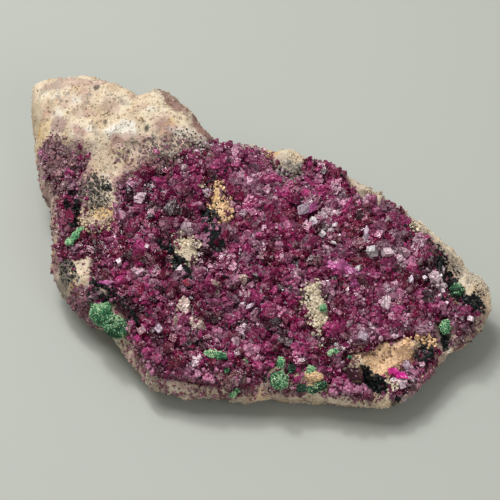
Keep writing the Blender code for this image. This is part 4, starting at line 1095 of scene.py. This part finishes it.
def add_steps(name, centres, frames, sizes, forms, tints, draw):
    """One piece of the small crystals grown on larger ones and turned as they are: each stands at a
    random place on one of the larger one's six upper faces, and most are a little paler than it,
    a painted glint."""
    radius = sizes[:, 0]
    owner = np.repeat(np.arange(len(centres)), np.ceil(STEPS_PER_AREA * radius ** 2).astype(int))
    corners = (np.array([form_corners(form) for form in CRYSTAL_FORMS])[forms] * sizes[:, None])[owner]
    each = np.arange(len(owner))
    side = draw.integers(0, 6, len(owner))
    low, high = np.sort(draw.uniform(size=(2, len(owner))), axis=0)[:, :, None]
    place = (low * corners[each, 0] + (high - low) * corners[each, 2 + side]
             + (1.0 - high) * corners[each, 2 + (side + 1) % 6])
    spots = centres[owner] + np.einsum("ni,nij->nj", place, frames[owner])
    step = draw.uniform(*STEP_RADII, len(owner)) * (STEP_LEAST + STEP_GAIN * radius[owner])
    step_sizes = step[:, None] * draw.uniform(*STEP_STRETCH, (len(owner), 3))
    step_tints = tints[owner] * draw.uniform(*STEP_SHADE, len(owner))[:, None]
    step_tints = towards(step_tints, CALCITE_COLOURS["pale"],
                         STEP_PAINTED_GLINT * draw.uniform(size=len(owner)) ** 3)
    add_crystals(name, spots, nudged(frames[owner], draw), step_sizes, forms[owner], step_tints)


def add_crystals(name, centres, frames, sizes, forms, tints):
    """One piece of many crystals, flat-faced, each in its own tint."""
    points, faces, corners = crystal_mesh(centres, frames, sizes, forms)
    piece = make_piece(name, points, faces, calcite_finish)
    piece.data.shade_flat()
    keep(piece, "tint", "FLOAT_COLOR", at_corners(tints))
    keep(piece, "inner", "FLOAT_VECTOR", (corners + INNER_SHIFT * centres[:, None]).reshape(-1, 3))
    add_piece(piece)


def large_crystals():
    """The solid's own crystals, at their places and turned as they are there."""
    draw = random.Random(TURN_SEED)
    form_names = list(CRYSTAL_FORMS)
    sites = crystal_sites()
    forms, frames = [], []
    for _ in sites:
        forms.append(form_names.index(draw.choice(FORM_MIX)))
        lean = [math.radians(draw.uniform(-CRYSTAL_TILT, CRYSTAL_TILT)) for _ in range(2)]
        turn = Euler((*lean, draw.uniform(0.0, 2.0 * math.pi)))
        frames.append(np.array(turn.to_matrix()).T)
    return sites, np.array(forms), np.array(frames)


def add_named_crystals():
    """The crystals that stand out, each leaning from upright towards its heading."""
    kinds = [kind for kind, rows in NAMED_CRYSTALS.items() for _ in rows]
    x, y, width, length, heading, lean = np.array(sum(NAMED_CRYSTALS.values(), []), float).T
    heading, lean = np.radians(heading), np.radians(lean)
    axes = np.column_stack([np.sin(lean) * np.cos(heading), np.sin(lean) * np.sin(heading), np.cos(lean)])
    rise = NAMED_RISE * ease(crust_cover(x, y))
    centres = np.column_stack([x, y, crust_top(x, y) + NAMED_LIFT * width + rise])
    forms = np.array([list(CRYSTAL_FORMS).index(form) for form, _ in kinds])
    tints = np.array([CALCITE_COLOURS[colour] for _, colour in kinds])
    sizes = np.column_stack([width, width, length])
    frames = frames_about(axes, heading)
    add_crystals("druse_named", centres, frames, sizes, forms, tints)


sites, forms, frames = large_crystals()
in_crust = wandering_cover(sites[:, 0], sites[:, 1]) > 0.0
sites, forms, frames = sites[in_crust], forms[in_crust], frames[in_crust]
draw = np.random.default_rng(SIZE_SEED)
x, y, radius = sites.T
centres = np.column_stack([x, y, crust_top(x, y) - CRYSTAL_SINK * radius])
sizes = (LARGE_SHARE * radius)[:, None] * draw.uniform(*LARGE_STRETCH, (len(x), 3))
tints = crystal_tints(x, y, draw)
add_crystals("druse_large", centres, frames, sizes, forms, tints)
add_steps("druse_large_steps", centres, frames, sizes, forms, tints, draw)
add_named_crystals()

for layer, (spacing, least, greatest, left_out, spread, seed) in LAYERS.items():
    draw = np.random.default_rng(seed)
    x, y = scattered_places(spacing, draw)
    cover = wandering_cover(x, y)
    chance = ease((cover + EDGE_SCATTER) / EDGE_SCATTER) * (1.0 - left_out)
    kept = (draw.uniform(size=len(x)) < chance) & (edge_distance(x, y, RIM)[0] > RIM_CLEAR)
    kept &= inside(x, y, RIM) & clear_of_malachite(x, y) & clear_of_named(x, y)
    x, y, cover = x[kept], y[kept], cover[kept]
    radius = draw.uniform(least, greatest, len(x)) * (EDGE_SIZE + (1.0 - EDGE_SIZE) * ease(cover / EDGE_FADE))
    radius *= FINE_LEFT + (1.0 - FINE_LEFT) * ease((x + 0.5 * FINE_REACH) / FINE_REACH)
    lift = radius * draw.uniform(*LAYER_LIFT, len(x))
    centres = np.column_stack([x, y, crust_top(x, y) + lift])
    frames = frames_about(leaning_axes(x, y, spread, draw), spins(x, y, draw))
    sizes = radius[:, None] * draw.uniform(*STRETCH, (len(x), 3))
    forms = draw.choice(3, len(x), p=FORM_SHARES)
    tints = crystal_tints(x, y, draw)
    add_crystals("druse_" + layer, centres, frames, sizes, forms, tints)
    if layer == "medium":
        add_steps("druse_medium_steps", centres, frames, sizes, forms, tints, draw)


def add_rim_crystals():
    """Small crystals that grow on over the rim and a little way down the stone's side."""
    draw = np.random.default_rng(RIM_SEED)
    picked = draw.choice(len(rock_points), RIM_TRIES, replace=False)
    spots, outward = rock_points[picked], rock_normals[picked]
    x, y, z = spots.T
    gap, height = rim_near(x, y)
    wander = 1.0 + rough(spots, RIM_WANDER_SIZE, 3, 67)
    chance = np.zeros(len(x))
    for *ellipse, reach, share in RIM_GROWTH:
        near = share * ease(RIM_SHAPE * (1.0 - ellipse_distance(x, y, *ellipse)))
        chance = np.maximum(chance, near * ease((reach * wander - (height - z)) / RIM_FADE))
    kept = (draw.uniform(size=len(x)) < chance) & (gap < RIM_WIDTH) & clear_of_malachite(x, y)
    spots, outward = spots[kept], outward[kept]
    count = len(spots)
    radius = draw.uniform(*RIM_RADII, count) * (RIM_LEAST + RIM_GAIN * chance[kept])
    aside = RIM_SCATTER * draw.normal(size=(count, 3))
    spots = spots + aside - outward * (aside * outward).sum(axis=1)[:, None]
    centres = spots + outward * (radius * draw.uniform(*RIM_LIFT, count))[:, None]
    axes = unit(outward + RIM_LEAN * draw.normal(size=(count, 3)))
    sizes = radius[:, None] * draw.uniform(*STRETCH, (count, 3))
    tints = crystal_tints(*spots[:, :2].T, draw)
    tints = towards(tints, CALCITE_COLOURS["brown"], draw.uniform(*RIM_BROWN, count))
    frames = turned_at_random(axes, draw)
    add_crystals("druse_rim", centres, frames, sizes, draw.choice(3, count, p=FORM_SHARES), tints)


add_rim_crystals()


# The malachite.
# Green growths of needles too fine to see, velvety all over. Each is a lump of small round heads,
# grown on the rock or on the calcite, and stands apart from the next.
MALACHITE_COLOURS = named_colours(dark="0a2c1c", middle="42925e", light="c2daae")
DOTS = [                  # single small heads on the crust: x, y, radius and shade
    (-4.0, -21.0, 0.36, 0.3), (-3.2, -22.8, 0.45, 0.85), (-2.6, -22.6, 0.34, 0.7), (-1.6, -20.1, 0.36, 0.6),
    (12.2, -18.9, 0.3, 0.6), (9.9, -18.3, 0.5, 0.3),
]
PAINTED_SHADE_FALL = 0.15         # how much darker a lump is to the lower right: painted shade
BODY_SHARE = 0.92         # size of the body under the round heads
LOBE_DEPTH, LOBE_SIZE = 0.30, 1.3    # how deeply a lump is lobed, and how wide its lobes are
HEADS, HEAD_SEED = 18, 90            # small round heads on each lump
GROWTH_SEED, DOT_SEED = 300, 320
HEAD_SHARES = 0.20, 0.36  # least and greatest radius, as shares of the lump's half width
HEAD_REACH, GREATEST_REACH = 0.86, 0.96    # how far out their middles are
FINE_DEPTH, FINE_SIZE = 0.09, 0.6    # of the knobs on a head
BODY_CELLS, HEAD_CELLS = 20, 7     # rings of cells on the body and on each head
VELVET_SPACING, VELVET_SHARE = 0.15, 8.0     # between the grains of the velvet
VELVET_RADII = 0.04, 0.11
PATCH_TONE, TONE_SIZE = 0.8, 1.3     # patches of lighter and darker grains
PAINTED_LIGHT_RISE = 0.15          # how much lighter a head's top is: painted light
LONE_TONE = 0.25          # how much grains differ from their neighbours
SKIN_PAINTED_SHADE = 0.45          # how much darker the skin is under them: painted shade between the grains


def ball_grid(rows, columns):
    """Directions to the points of a ball, in rings from pole to pole, and its triangles."""
    tilt = np.linspace(0.0, math.pi, rows + 1)[1:-1, None]
    turn = np.linspace(0.0, 2.0 * math.pi, columns, endpoint=False)[None, :]
    rings = np.stack([np.sin(tilt) * np.cos(turn), np.sin(tilt) * np.sin(turn),
                      np.cos(tilt) * np.ones_like(turn)], axis=2).reshape(-1, 3)
    index = np.arange(len(rings)).reshape(rows - 1, columns)
    bands = [band_faces(upper, lower) for upper, lower in zip(index[:-1], index[1:])]
    top, bottom = len(rings), len(rings) + 1
    caps = [np.column_stack([np.full(columns, top), index[0], np.roll(index[0], -1)]),
            np.column_stack([np.full(columns, bottom), np.roll(index[-1], -1), index[-1]])]
    return np.vstack([rings, [0.0, 0.0, 1.0], [0.0, 0.0, -1.0]]), np.vstack(bands + caps)


def head_points(directions, centre, sizes, turn, seed):
    """Points of one round head: directions times its half sizes, turned about the upright, moved to
    its centre and pushed out by fine knobs."""
    turn = math.radians(turn)
    stretched = directions * sizes
    x = stretched[:, 0] * math.cos(turn) - stretched[:, 1] * math.sin(turn)
    y = stretched[:, 0] * math.sin(turn) + stretched[:, 1] * math.cos(turn)
    points = np.column_stack([x, y, stretched[:, 2]])
    outward = unit(points)
    points = points + centre
    return points + outward * (FINE_DEPTH * rough(points, FINE_SIZE, 3, seed))[:, None]


def lump_heads(lump, seat, draw):
    """A lump's heads as centre, half sizes and turn: the body, and round ones all over it."""
    x, y, length, width, height, turn = lump
    centre = np.array([x, y, seat + LUMP_LIFT * height])
    heads = [(centre, np.array([length, width, height]) * BODY_SHARE, turn)]
    for _ in range(HEADS):
        way = draw.normal(size=(1, 3))
        way[0, 2] = abs(way[0, 2])
        way = unit(way)
        lobe = HEAD_REACH * (1.0 + LOBE_DEPTH * noise(way + centre, LOBE_SIZE, 97)[0])
        lobe = min(lobe, GREATEST_REACH)
        out = head_points(way, centre, np.array([length, width, height]) * lobe, turn, 0)[0]
        radius = width * draw.uniform(*HEAD_SHARES)
        heads.append((out, np.array([radius, radius, radius]), 0.0))
    return heads


def malachite_material():
    """Velvety green, darker between the grains and paler on their tips: painted shade and light."""
    finish = new_material("malachite", MALACHITE_COLOURS["middle"], 0.75)
    dark, middle, light = (opaque(colour) for colour in MALACHITE_COLOURS.values())
    tone = attribute(finish, "tone", "Fac")
    fine = ramp(finish, speckle(finish, 0.13, 2.0, 9), 0.35, 0.65, -0.22, 0.22)
    tone = add_node(finish, "ShaderNodeMath", {0: tone, 1: fine}, operation="ADD")[0]
    colour = mixed(finish, ramp(finish, tone, 0.1, 0.5), dark, middle)
    colour = mixed(finish, ramp(finish, tone, 0.5, 0.95), colour, light)
    surface_input(finish, "Base Color", colour)
    surface_input(finish, "Normal", bump(finish, fine, 0.12))
    return finish


def velvet(head, seed, lump, shade, draw):
    """The grains of velvet on one head: their points, faces and tones. They are lighter on top as
    painted light, darker to the lump's lower right as painted shade, and lighter or darker in
    patches."""
    centre, sizes, turn = head
    count = int(VELVET_SHARE * sizes[0] * sizes[1] / VELVET_SPACING ** 2)
    way = unit(draw.normal(size=(count, 3)))
    spots = head_points(way, centre, sizes, turn, seed)
    radius = draw.uniform(*VELVET_RADII, count)
    grains, faces = grain_mesh(spots, way, radius[:, None] * np.ones(3), draw, None)
    tone = PATCH_TONE * rough(spots, TONE_SIZE, 2, 99) + PAINTED_LIGHT_RISE * (spots[:, 2] - centre[2]) / sizes[2]
    tone -= PAINTED_SHADE_FALL * (spots[:, 0] - lump[0] - spots[:, 1] + lump[1]) / (2.0 * lump[3])
    tone = shade + tone + LONE_TONE * draw.normal(size=count)
    return grains, faces, at_corners(tone)


def add_malachite(name, lump_row, seats, draw):
    """One piece of malachite: the heads of its lumps, with grains of velvet over them."""
    points, faces, tones, count = [], [], [], 0
    for (*lump, rise, shade), seat in zip(lump_row, seats):
        for seed, head in enumerate(lump_heads(lump, seat + rise, draw), HEAD_SEED):
            cells = BODY_CELLS if seed == HEAD_SEED else HEAD_CELLS
            directions, triangles = ball_grid(cells, 2 * cells)
            # Painted shade: the skin between the grains is darker than they are.
            skin_points = head_points(directions, *head, seed)
            skin = (skin_points, triangles, np.full(len(skin_points), shade - SKIN_PAINTED_SHADE))
            for part, part_faces, part_tones in (skin, velvet(head, seed, lump, shade, draw)):
                points.append(part)
                faces.append(part_faces + count)
                tones.append(part_tones)
                count += len(part)
    piece = make_piece(name, np.vstack(points), np.vstack(faces), malachite_finish)
    piece.data.shade_flat()
    keep(piece, "tone", "FLOAT", np.concatenate(tones))
    return piece


malachite_finish = malachite_material()
for number, (node, lump_row) in enumerate(GROWTHS.items()):
    seats = [malachite_seat(node)] * len(lump_row)
    growth = add_malachite(node + "_growth", lump_row, seats, np.random.default_rng(GROWTH_SEED + number))
    add_piece(growth, [node])

x, y = np.array(DOTS)[:, :2].T
dot_row = [(x, y, radius, radius, radius, 0.0, 0.0, shade) for x, y, radius, shade in DOTS]
dots = add_malachite("malachite_dots", dot_row, crust_top(x, y), np.random.default_rng(DOT_SEED))
add_piece(dots)


# Loose grains in and on the rock.
# Sand-sized grains stand out of the broken rock, crumbs of it lie among the crystals, and black
# manganese oxide sits in the pits and seams as crusts of grains and thin blades.
SAND_TRIES, SAND_RADII = 25500, (0.09, 0.24)
SAND_LOWEST, SIDE_DROP = 0.7, 0.6
SAND_MIX = {              # the grains' own colours, and their shares
    "cream": 0.31, "tan": 0.28, "white": 0.13, "rose": 0.15, "ochre": 0.07, "brown": 0.04, "dusk": 0.02,
}
SAND_OWN = 0.36           # greatest share of its own colour in a grain's
SAND_SHADE, SAND_LEAN, SAND_LIFT = (0.86, 1.05), 0.35, (-0.65, 0.08)
GRAIN_STRETCH = 0.7, 1.3
LOOSE_LIFT = -0.3, 1.3    # how far loose grains stand out, as shares of their radius
SAND_PALEST, CRUMB_PALEST = 0.8, 0.9
SAND_SEED, CRUMB_SEED, OXIDE_SEED, NODULE_SEED = 401, 403, 405, 407
ELLIPSE_CROWD = 0.6       # 0.5 would spread grains evenly, and more gathers them at an ellipse's middle
NODULE = (7.4, -21.5, 1.3, 0.62, 0.6, -14)     # x, y, half sizes and turn in degrees
NODULE_GRAINS, NODULE_CELLS, NODULE_KNOBS = 260, 16, 411     # the last sets its knobs
NODULE_LIFT, NODULE_STRETCH = 0.5, (0.5, 1.0)
CRUMBS = [                # centre, half length, half width, turn, number of grains, colour
    (13.3, -18.6, 1.1, 1.7, 0, 45, "brown"), (17.6, 6.8, 3, 0.9, -32, 50, "tan"),
    (4.7, 9.2, 1.9, 2.4, 0, 120, "grey"), (-14, 12, 6.6, 1.6, 8, 130, "mauve"),
    (-12, 12.6, 6, 1.4, 2, 110, "grey"), (-22, 1.5, 3.4, 2.2, 0, 140, "tan"),
    (-24.5, 7.5, 1.6, 5.5, 0, 170, "mauve"), (-22.2, 6.2, 2.2, 3.2, 0, 150, "dusk"),
    (-28, 10, 2.6, 4, 0, 160, "mauve"), (21.6, 1.2, 1.8, 1.3, -40, 50, "cream"),
    (7.3, -21.7, 1.4, 0.7, -20, 60, "golden"), (8, -16.6, 0.8, 1.2, 0, 22, "cream"),
    (10.9, -19.9, 0.7, 0.9, 0, 16, "cream"), (-6.6, 0.1, 1.1, 1, 0, 60, "golden"),
    (-28.4, 13, 2.4, 1.6, 0, 120, "mauve"), (-10, -3, 2.6, 2.9, 0, 110, "cream"),
    (7.6, -11.2, 2.2, 3.8, 0, 120, "cream"), (-5, 3.9, 1.8, 3.9, 8, 110, "golden"),
    (21.8, -16.2, 2.4, 1, 0, 90, "golden"), (-7.9, 6.9, 1.1, 0.5, -25, 30, "cream"),
    (15.6, -17.3, 2.8, 0.9, 10, 34, "brown"), (-25.6, -6.8, 1.6, 2.4, 20, 160, "dusk"),
    (7.5, -9.2, 1.1, 0.9, 0, 70, "cream"), (8.4, -14.2, 0.9, 1.4, 0, 90, "cream"),
    (17.8, -22, 1.1, 1.5, 0, 44, "cream"), (-8.2, -2.2, 1.4, 0.8, 0, 50, "cream"),
]
CRUMB_RADII, CRUMB_SHADE = (0.10, 0.26), (0.6, 1.25)
OXIDE = [                 # centre, half length, half width, turn, number of grains, greatest radius
    (15.4, -21.4, 2.3, 1.3, -38, 230, 0.42), (-6, -0.2, 1.2, 3.9, 14, 420, 0.40),
    (-10, -6.4, 1.1, 2.6, 25, 280, 0.40), (-12.2, -2.8, 1.2, 0.8, -40, 90, 0.32),
    (-8.3, -17.1, 1, 1.6, 0, 80, 0.28), (-25.2, 3.5, 0.9, 3.4, 6, 220, 0.34),
    (24.9, -13.4, 0.5, 4, 6, 110, 0.3), (22.1, -17.6, 1.2, 0.9, 10, 150, 0.34),
    (26, -6.8, 1.2, 3.6, 25, 260, 0.34), (28.9, -10.3, 1.7, 0.9, -20, 130, 0.32),
    (-21.1, -10.1, 1.5, 0.6, -20, 60, 0.3), (-16.3, -13.8, 1, 0.9, 0, 60, 0.3),
    (-25.9, -6.3, 1.5, 2.2, 20, 150, 0.24), (6.4, -23.7, 0.7, 0.3, 0, 16, 0.25),
    (-20.5, 6.6, 0.7, 0.6, 0, 24, 0.25), (-22.4, 5.6, 2.4, 3.8, 0, 90, 0.16),
    (-5.4, 3.4, 1.2, 3.2, 8, 46, 0.18), (-9, 13.6, 3.4, 0.9, -14, 40, 0.15),
    (3.2, 8.8, 1.4, 0.9, 0, 26, 0.25), (6.6, -11, 0.7, 1.6, 0, 40, 0.18),
    (18.6, -24, 0.5, 0.4, 0, 16, 0.25), (-4, -19.8, 3.4, 0.8, 0, 40, 0.2),
    # The row at (-18.5, -10.9) along the big malachite is partly oxide and partly painted shadow in the gap
    # beside it.
    (-18.5, -10.9, 2.4, 0.7, -50, 80, 0.26), (-20.9, -8.5, 1.7, 0.5, -15, 60, 0.24),
    (-13.4, -19.6, 3, 0.7, -48, 40, 0.16), (25, -2.9, 4.2, 0.7, -48, 60, 0.2),
    (29.6, -9, 0.9, 1.4, 0, 24, 0.2), (4.4, -22.6, 2.2, 0.5, -4, 36, 0.2),
    (1.2, -21.8, 0.6, 0.8, 0, 16, 0.2),
]
OXIDE_COLOUR, OXIDE_ROUGHNESS = hex_colour("0c0d0e"), 0.42
BLADES = 110              # thin blades among the oxide of the front pit
BLADE_SIZES, BLADE_STRETCH = (0.12, 0.34, 0.62), (0.6, 1.3)
OXIDE_LEAST = 0.1
SPRINKLE, SPRINKLE_RADII = 420, (0.12, 0.26)     # single black grains all over the crust
SPRINKLE_BOX, SPRINKLE_INSET = ((-29.0, 28.0), (-22.0, 14.0)), 0.3


def on_face(x, y):
    """True for places on the stone's face, clear of its rim and of the malachite."""
    clear = inside(x, y, RIM) & clear_of_malachite(x, y)
    return clear & (edge_distance(x, y, RIM)[0] > RIM_CLEAR)


def in_ellipse(row, count, draw):
    """Random places inside an ellipse, thinning out towards its border."""
    centre_x, centre_y, length, width, turn = row
    turn = math.radians(turn)
    out = draw.uniform(0.0, 1.0, count) ** ELLIPSE_CROWD
    way = draw.uniform(0.0, 2.0 * math.pi, count)
    along, across = length * out * np.cos(way), width * out * np.sin(way)
    return (centre_x + along * math.cos(turn) - across * math.sin(turn),
            centre_y + along * math.sin(turn) + across * math.cos(turn))


def loose_grains(x, y, sizes, draw):
    """Grains that stand on the stone, some half sunk: their mesh of crystals of all forms."""
    centres = np.column_stack([x, y, crust_top(x, y) + sizes[:, 0] * draw.uniform(*LOOSE_LIFT, len(x))])
    return grain_mesh(centres, leaning_axes(x, y, 1.0, draw), sizes, draw)


def add_rock_piece(name, points, faces, colours):
    """A piece of rock grains with a colour for every point."""
    piece = make_piece(name, points, faces, rock_finish)
    piece.data.shade_flat()
    keep(piece, "stain", "FLOAT_COLOR", colours)
    keep(piece, "specks", "FLOAT", np.zeros(len(points)))
    add_piece(piece)


def add_sand():
    """Grains that stand out of the bare rock, the sides too, in its own colours."""
    draw = np.random.default_rng(SAND_SEED)
    picked = draw.choice(len(rock_points), SAND_TRIES, replace=False)
    spots, outward = rock_points[picked], rock_normals[picked]
    x, y, z = spots.T
    bare = (wandering_cover(x, y) < 1.0) | (z < rock_top(x, y) - SIDE_DROP)
    bare &= (z > SAND_LOWEST) & clear_of_malachite(x, y)
    spots, outward = spots[bare], outward[bare]
    count = len(spots)
    palette = np.array([ROCK_COLOURS[name] for name in SAND_MIX])
    own = palette[draw.choice(len(palette), count, p=list(SAND_MIX.values()))]
    colours = rock_colours(spots)
    colours += (own - colours) * draw.uniform(0.0, SAND_OWN, (count, 1))
    colours *= draw.uniform(*SAND_SHADE, (count, 1))
    sizes = draw.uniform(*SAND_RADII, count)[:, None] * draw.uniform(*GRAIN_STRETCH, (count, 3))
    axes = unit(outward + SAND_LEAN * draw.normal(size=(count, 3)))
    centres = spots + outward * (sizes[:, :1] * draw.uniform(*SAND_LIFT, (count, 1)))
    points, faces = grain_mesh(centres, axes, sizes, draw)
    add_rock_piece("sand", points, faces, at_corners(np.minimum(colours, SAND_PALEST)))


def add_nodule():
    """A lump of rock that stands between the growths of malachite at the front edge."""
    draw = np.random.default_rng(NODULE_SEED)
    *spot, length, width, height, turn = NODULE
    centre = np.array([*spot, crust_top(*np.array(spot)[:, None])[0] + NODULE_LIFT * height])
    sizes = np.array([length, width, height])
    directions, skin_faces = ball_grid(NODULE_CELLS, 2 * NODULE_CELLS)
    skin = head_points(directions, centre, sizes, turn, NODULE_KNOBS)
    way = unit(draw.normal(size=(NODULE_GRAINS, 3)))
    grain_sizes = draw.uniform(*SAND_RADII, (NODULE_GRAINS, 1))
    grain_sizes = grain_sizes * draw.uniform(*NODULE_STRETCH, (NODULE_GRAINS, 3))
    spots = head_points(way, centre, sizes, turn, NODULE_KNOBS)
    grains, grain_faces = grain_mesh(spots, way, grain_sizes, draw)
    golden, tan = ROCK_COLOURS["golden"], ROCK_COLOURS["tan"]
    grain_colours = towards(np.tile(golden, (NODULE_GRAINS, 1)), tan, draw.uniform(size=NODULE_GRAINS))
    colours = np.vstack([np.tile(golden, (len(skin), 1)), at_corners(grain_colours)])
    faces = np.vstack([skin_faces, grain_faces + len(skin)])
    add_rock_piece("nodule", np.vstack([skin, grains]), faces, colours)


def add_crumbs():
    """Crumbs of rock among the crystals."""
    draw = np.random.default_rng(CRUMB_SEED)
    places, colours = [], []
    for *ellipse, count, name in CRUMBS:
        places.append(np.column_stack(in_ellipse(ellipse, count, draw)))
        colours.append(np.tile(ROCK_COLOURS[name], (count, 1)))
    x, y = np.vstack(places).T
    kept = on_face(x, y)
    x, y = x[kept], y[kept]
    colours = np.vstack(colours)[kept] * draw.uniform(*CRUMB_SHADE, len(x))[:, None]
    sizes = draw.uniform(*CRUMB_RADII, len(x))[:, None] * draw.uniform(*GRAIN_STRETCH, (len(x), 3))
    points, faces = loose_grains(x, y, sizes, draw)
    add_rock_piece("crumbs", points, faces, at_corners(np.minimum(colours, CRUMB_PALEST)))


def oxide_material():
    """Near-black oxide with a dull gleam."""
    finish = new_material("black_oxide", OXIDE_COLOUR, OXIDE_ROUGHNESS)
    finish.node_tree.nodes["Principled BSDF"].inputs["Specular IOR Level"].default_value = 0.3
    spots = speckle(finish, 0.2, 2.0, 12)
    colour = mixed(finish, ramp(finish, spots, 0.5, 0.75), opaque(OXIDE_COLOUR), opaque(ROCK_COLOURS["teal"]))
    surface_input(finish, "Base Color", colour)
    surface_input(finish, "Roughness", ramp(finish, spots, 0.3, 0.7, 0.25, 0.7))
    surface_input(finish, "Normal", bump(finish, spots, 0.06))
    return finish


def add_oxide():
    """The oxide's grains and blades, and single grains sprinkled over the crust."""
    draw = np.random.default_rng(OXIDE_SEED)
    places, sizes = [], []
    for *ellipse, count, greatest in OXIDE:
        places.append(np.column_stack(in_ellipse(ellipse, count, draw)))
        radius = draw.uniform(OXIDE_LEAST, greatest, (count, 1))
        sizes.append(radius * draw.uniform(*GRAIN_STRETCH, (count, 3)))
    places.append(np.column_stack(in_ellipse(OXIDE[0][:5], BLADES, draw)))
    sizes.append(np.array(BLADE_SIZES) * draw.uniform(*BLADE_STRETCH, (BLADES, 3)))
    spots = np.column_stack([draw.uniform(*reach, SPRINKLE) for reach in SPRINKLE_BOX])
    spots = spots[crust_cover(*spots.T) > SPRINKLE_INSET]
    places.append(spots)
    sizes.append(draw.uniform(*SPRINKLE_RADII, (len(spots), 1)) * np.ones(3))
    x, y = np.vstack(places).T
    kept = on_face(x, y)
    points, faces = loose_grains(x[kept], y[kept], np.vstack(sizes)[kept], draw)
    piece = make_piece("oxide", points, faces, oxide_material())
    piece.data.shade_flat()
    add_piece(piece)


add_sand()
add_nodule()
add_crumbs()
add_oxide()
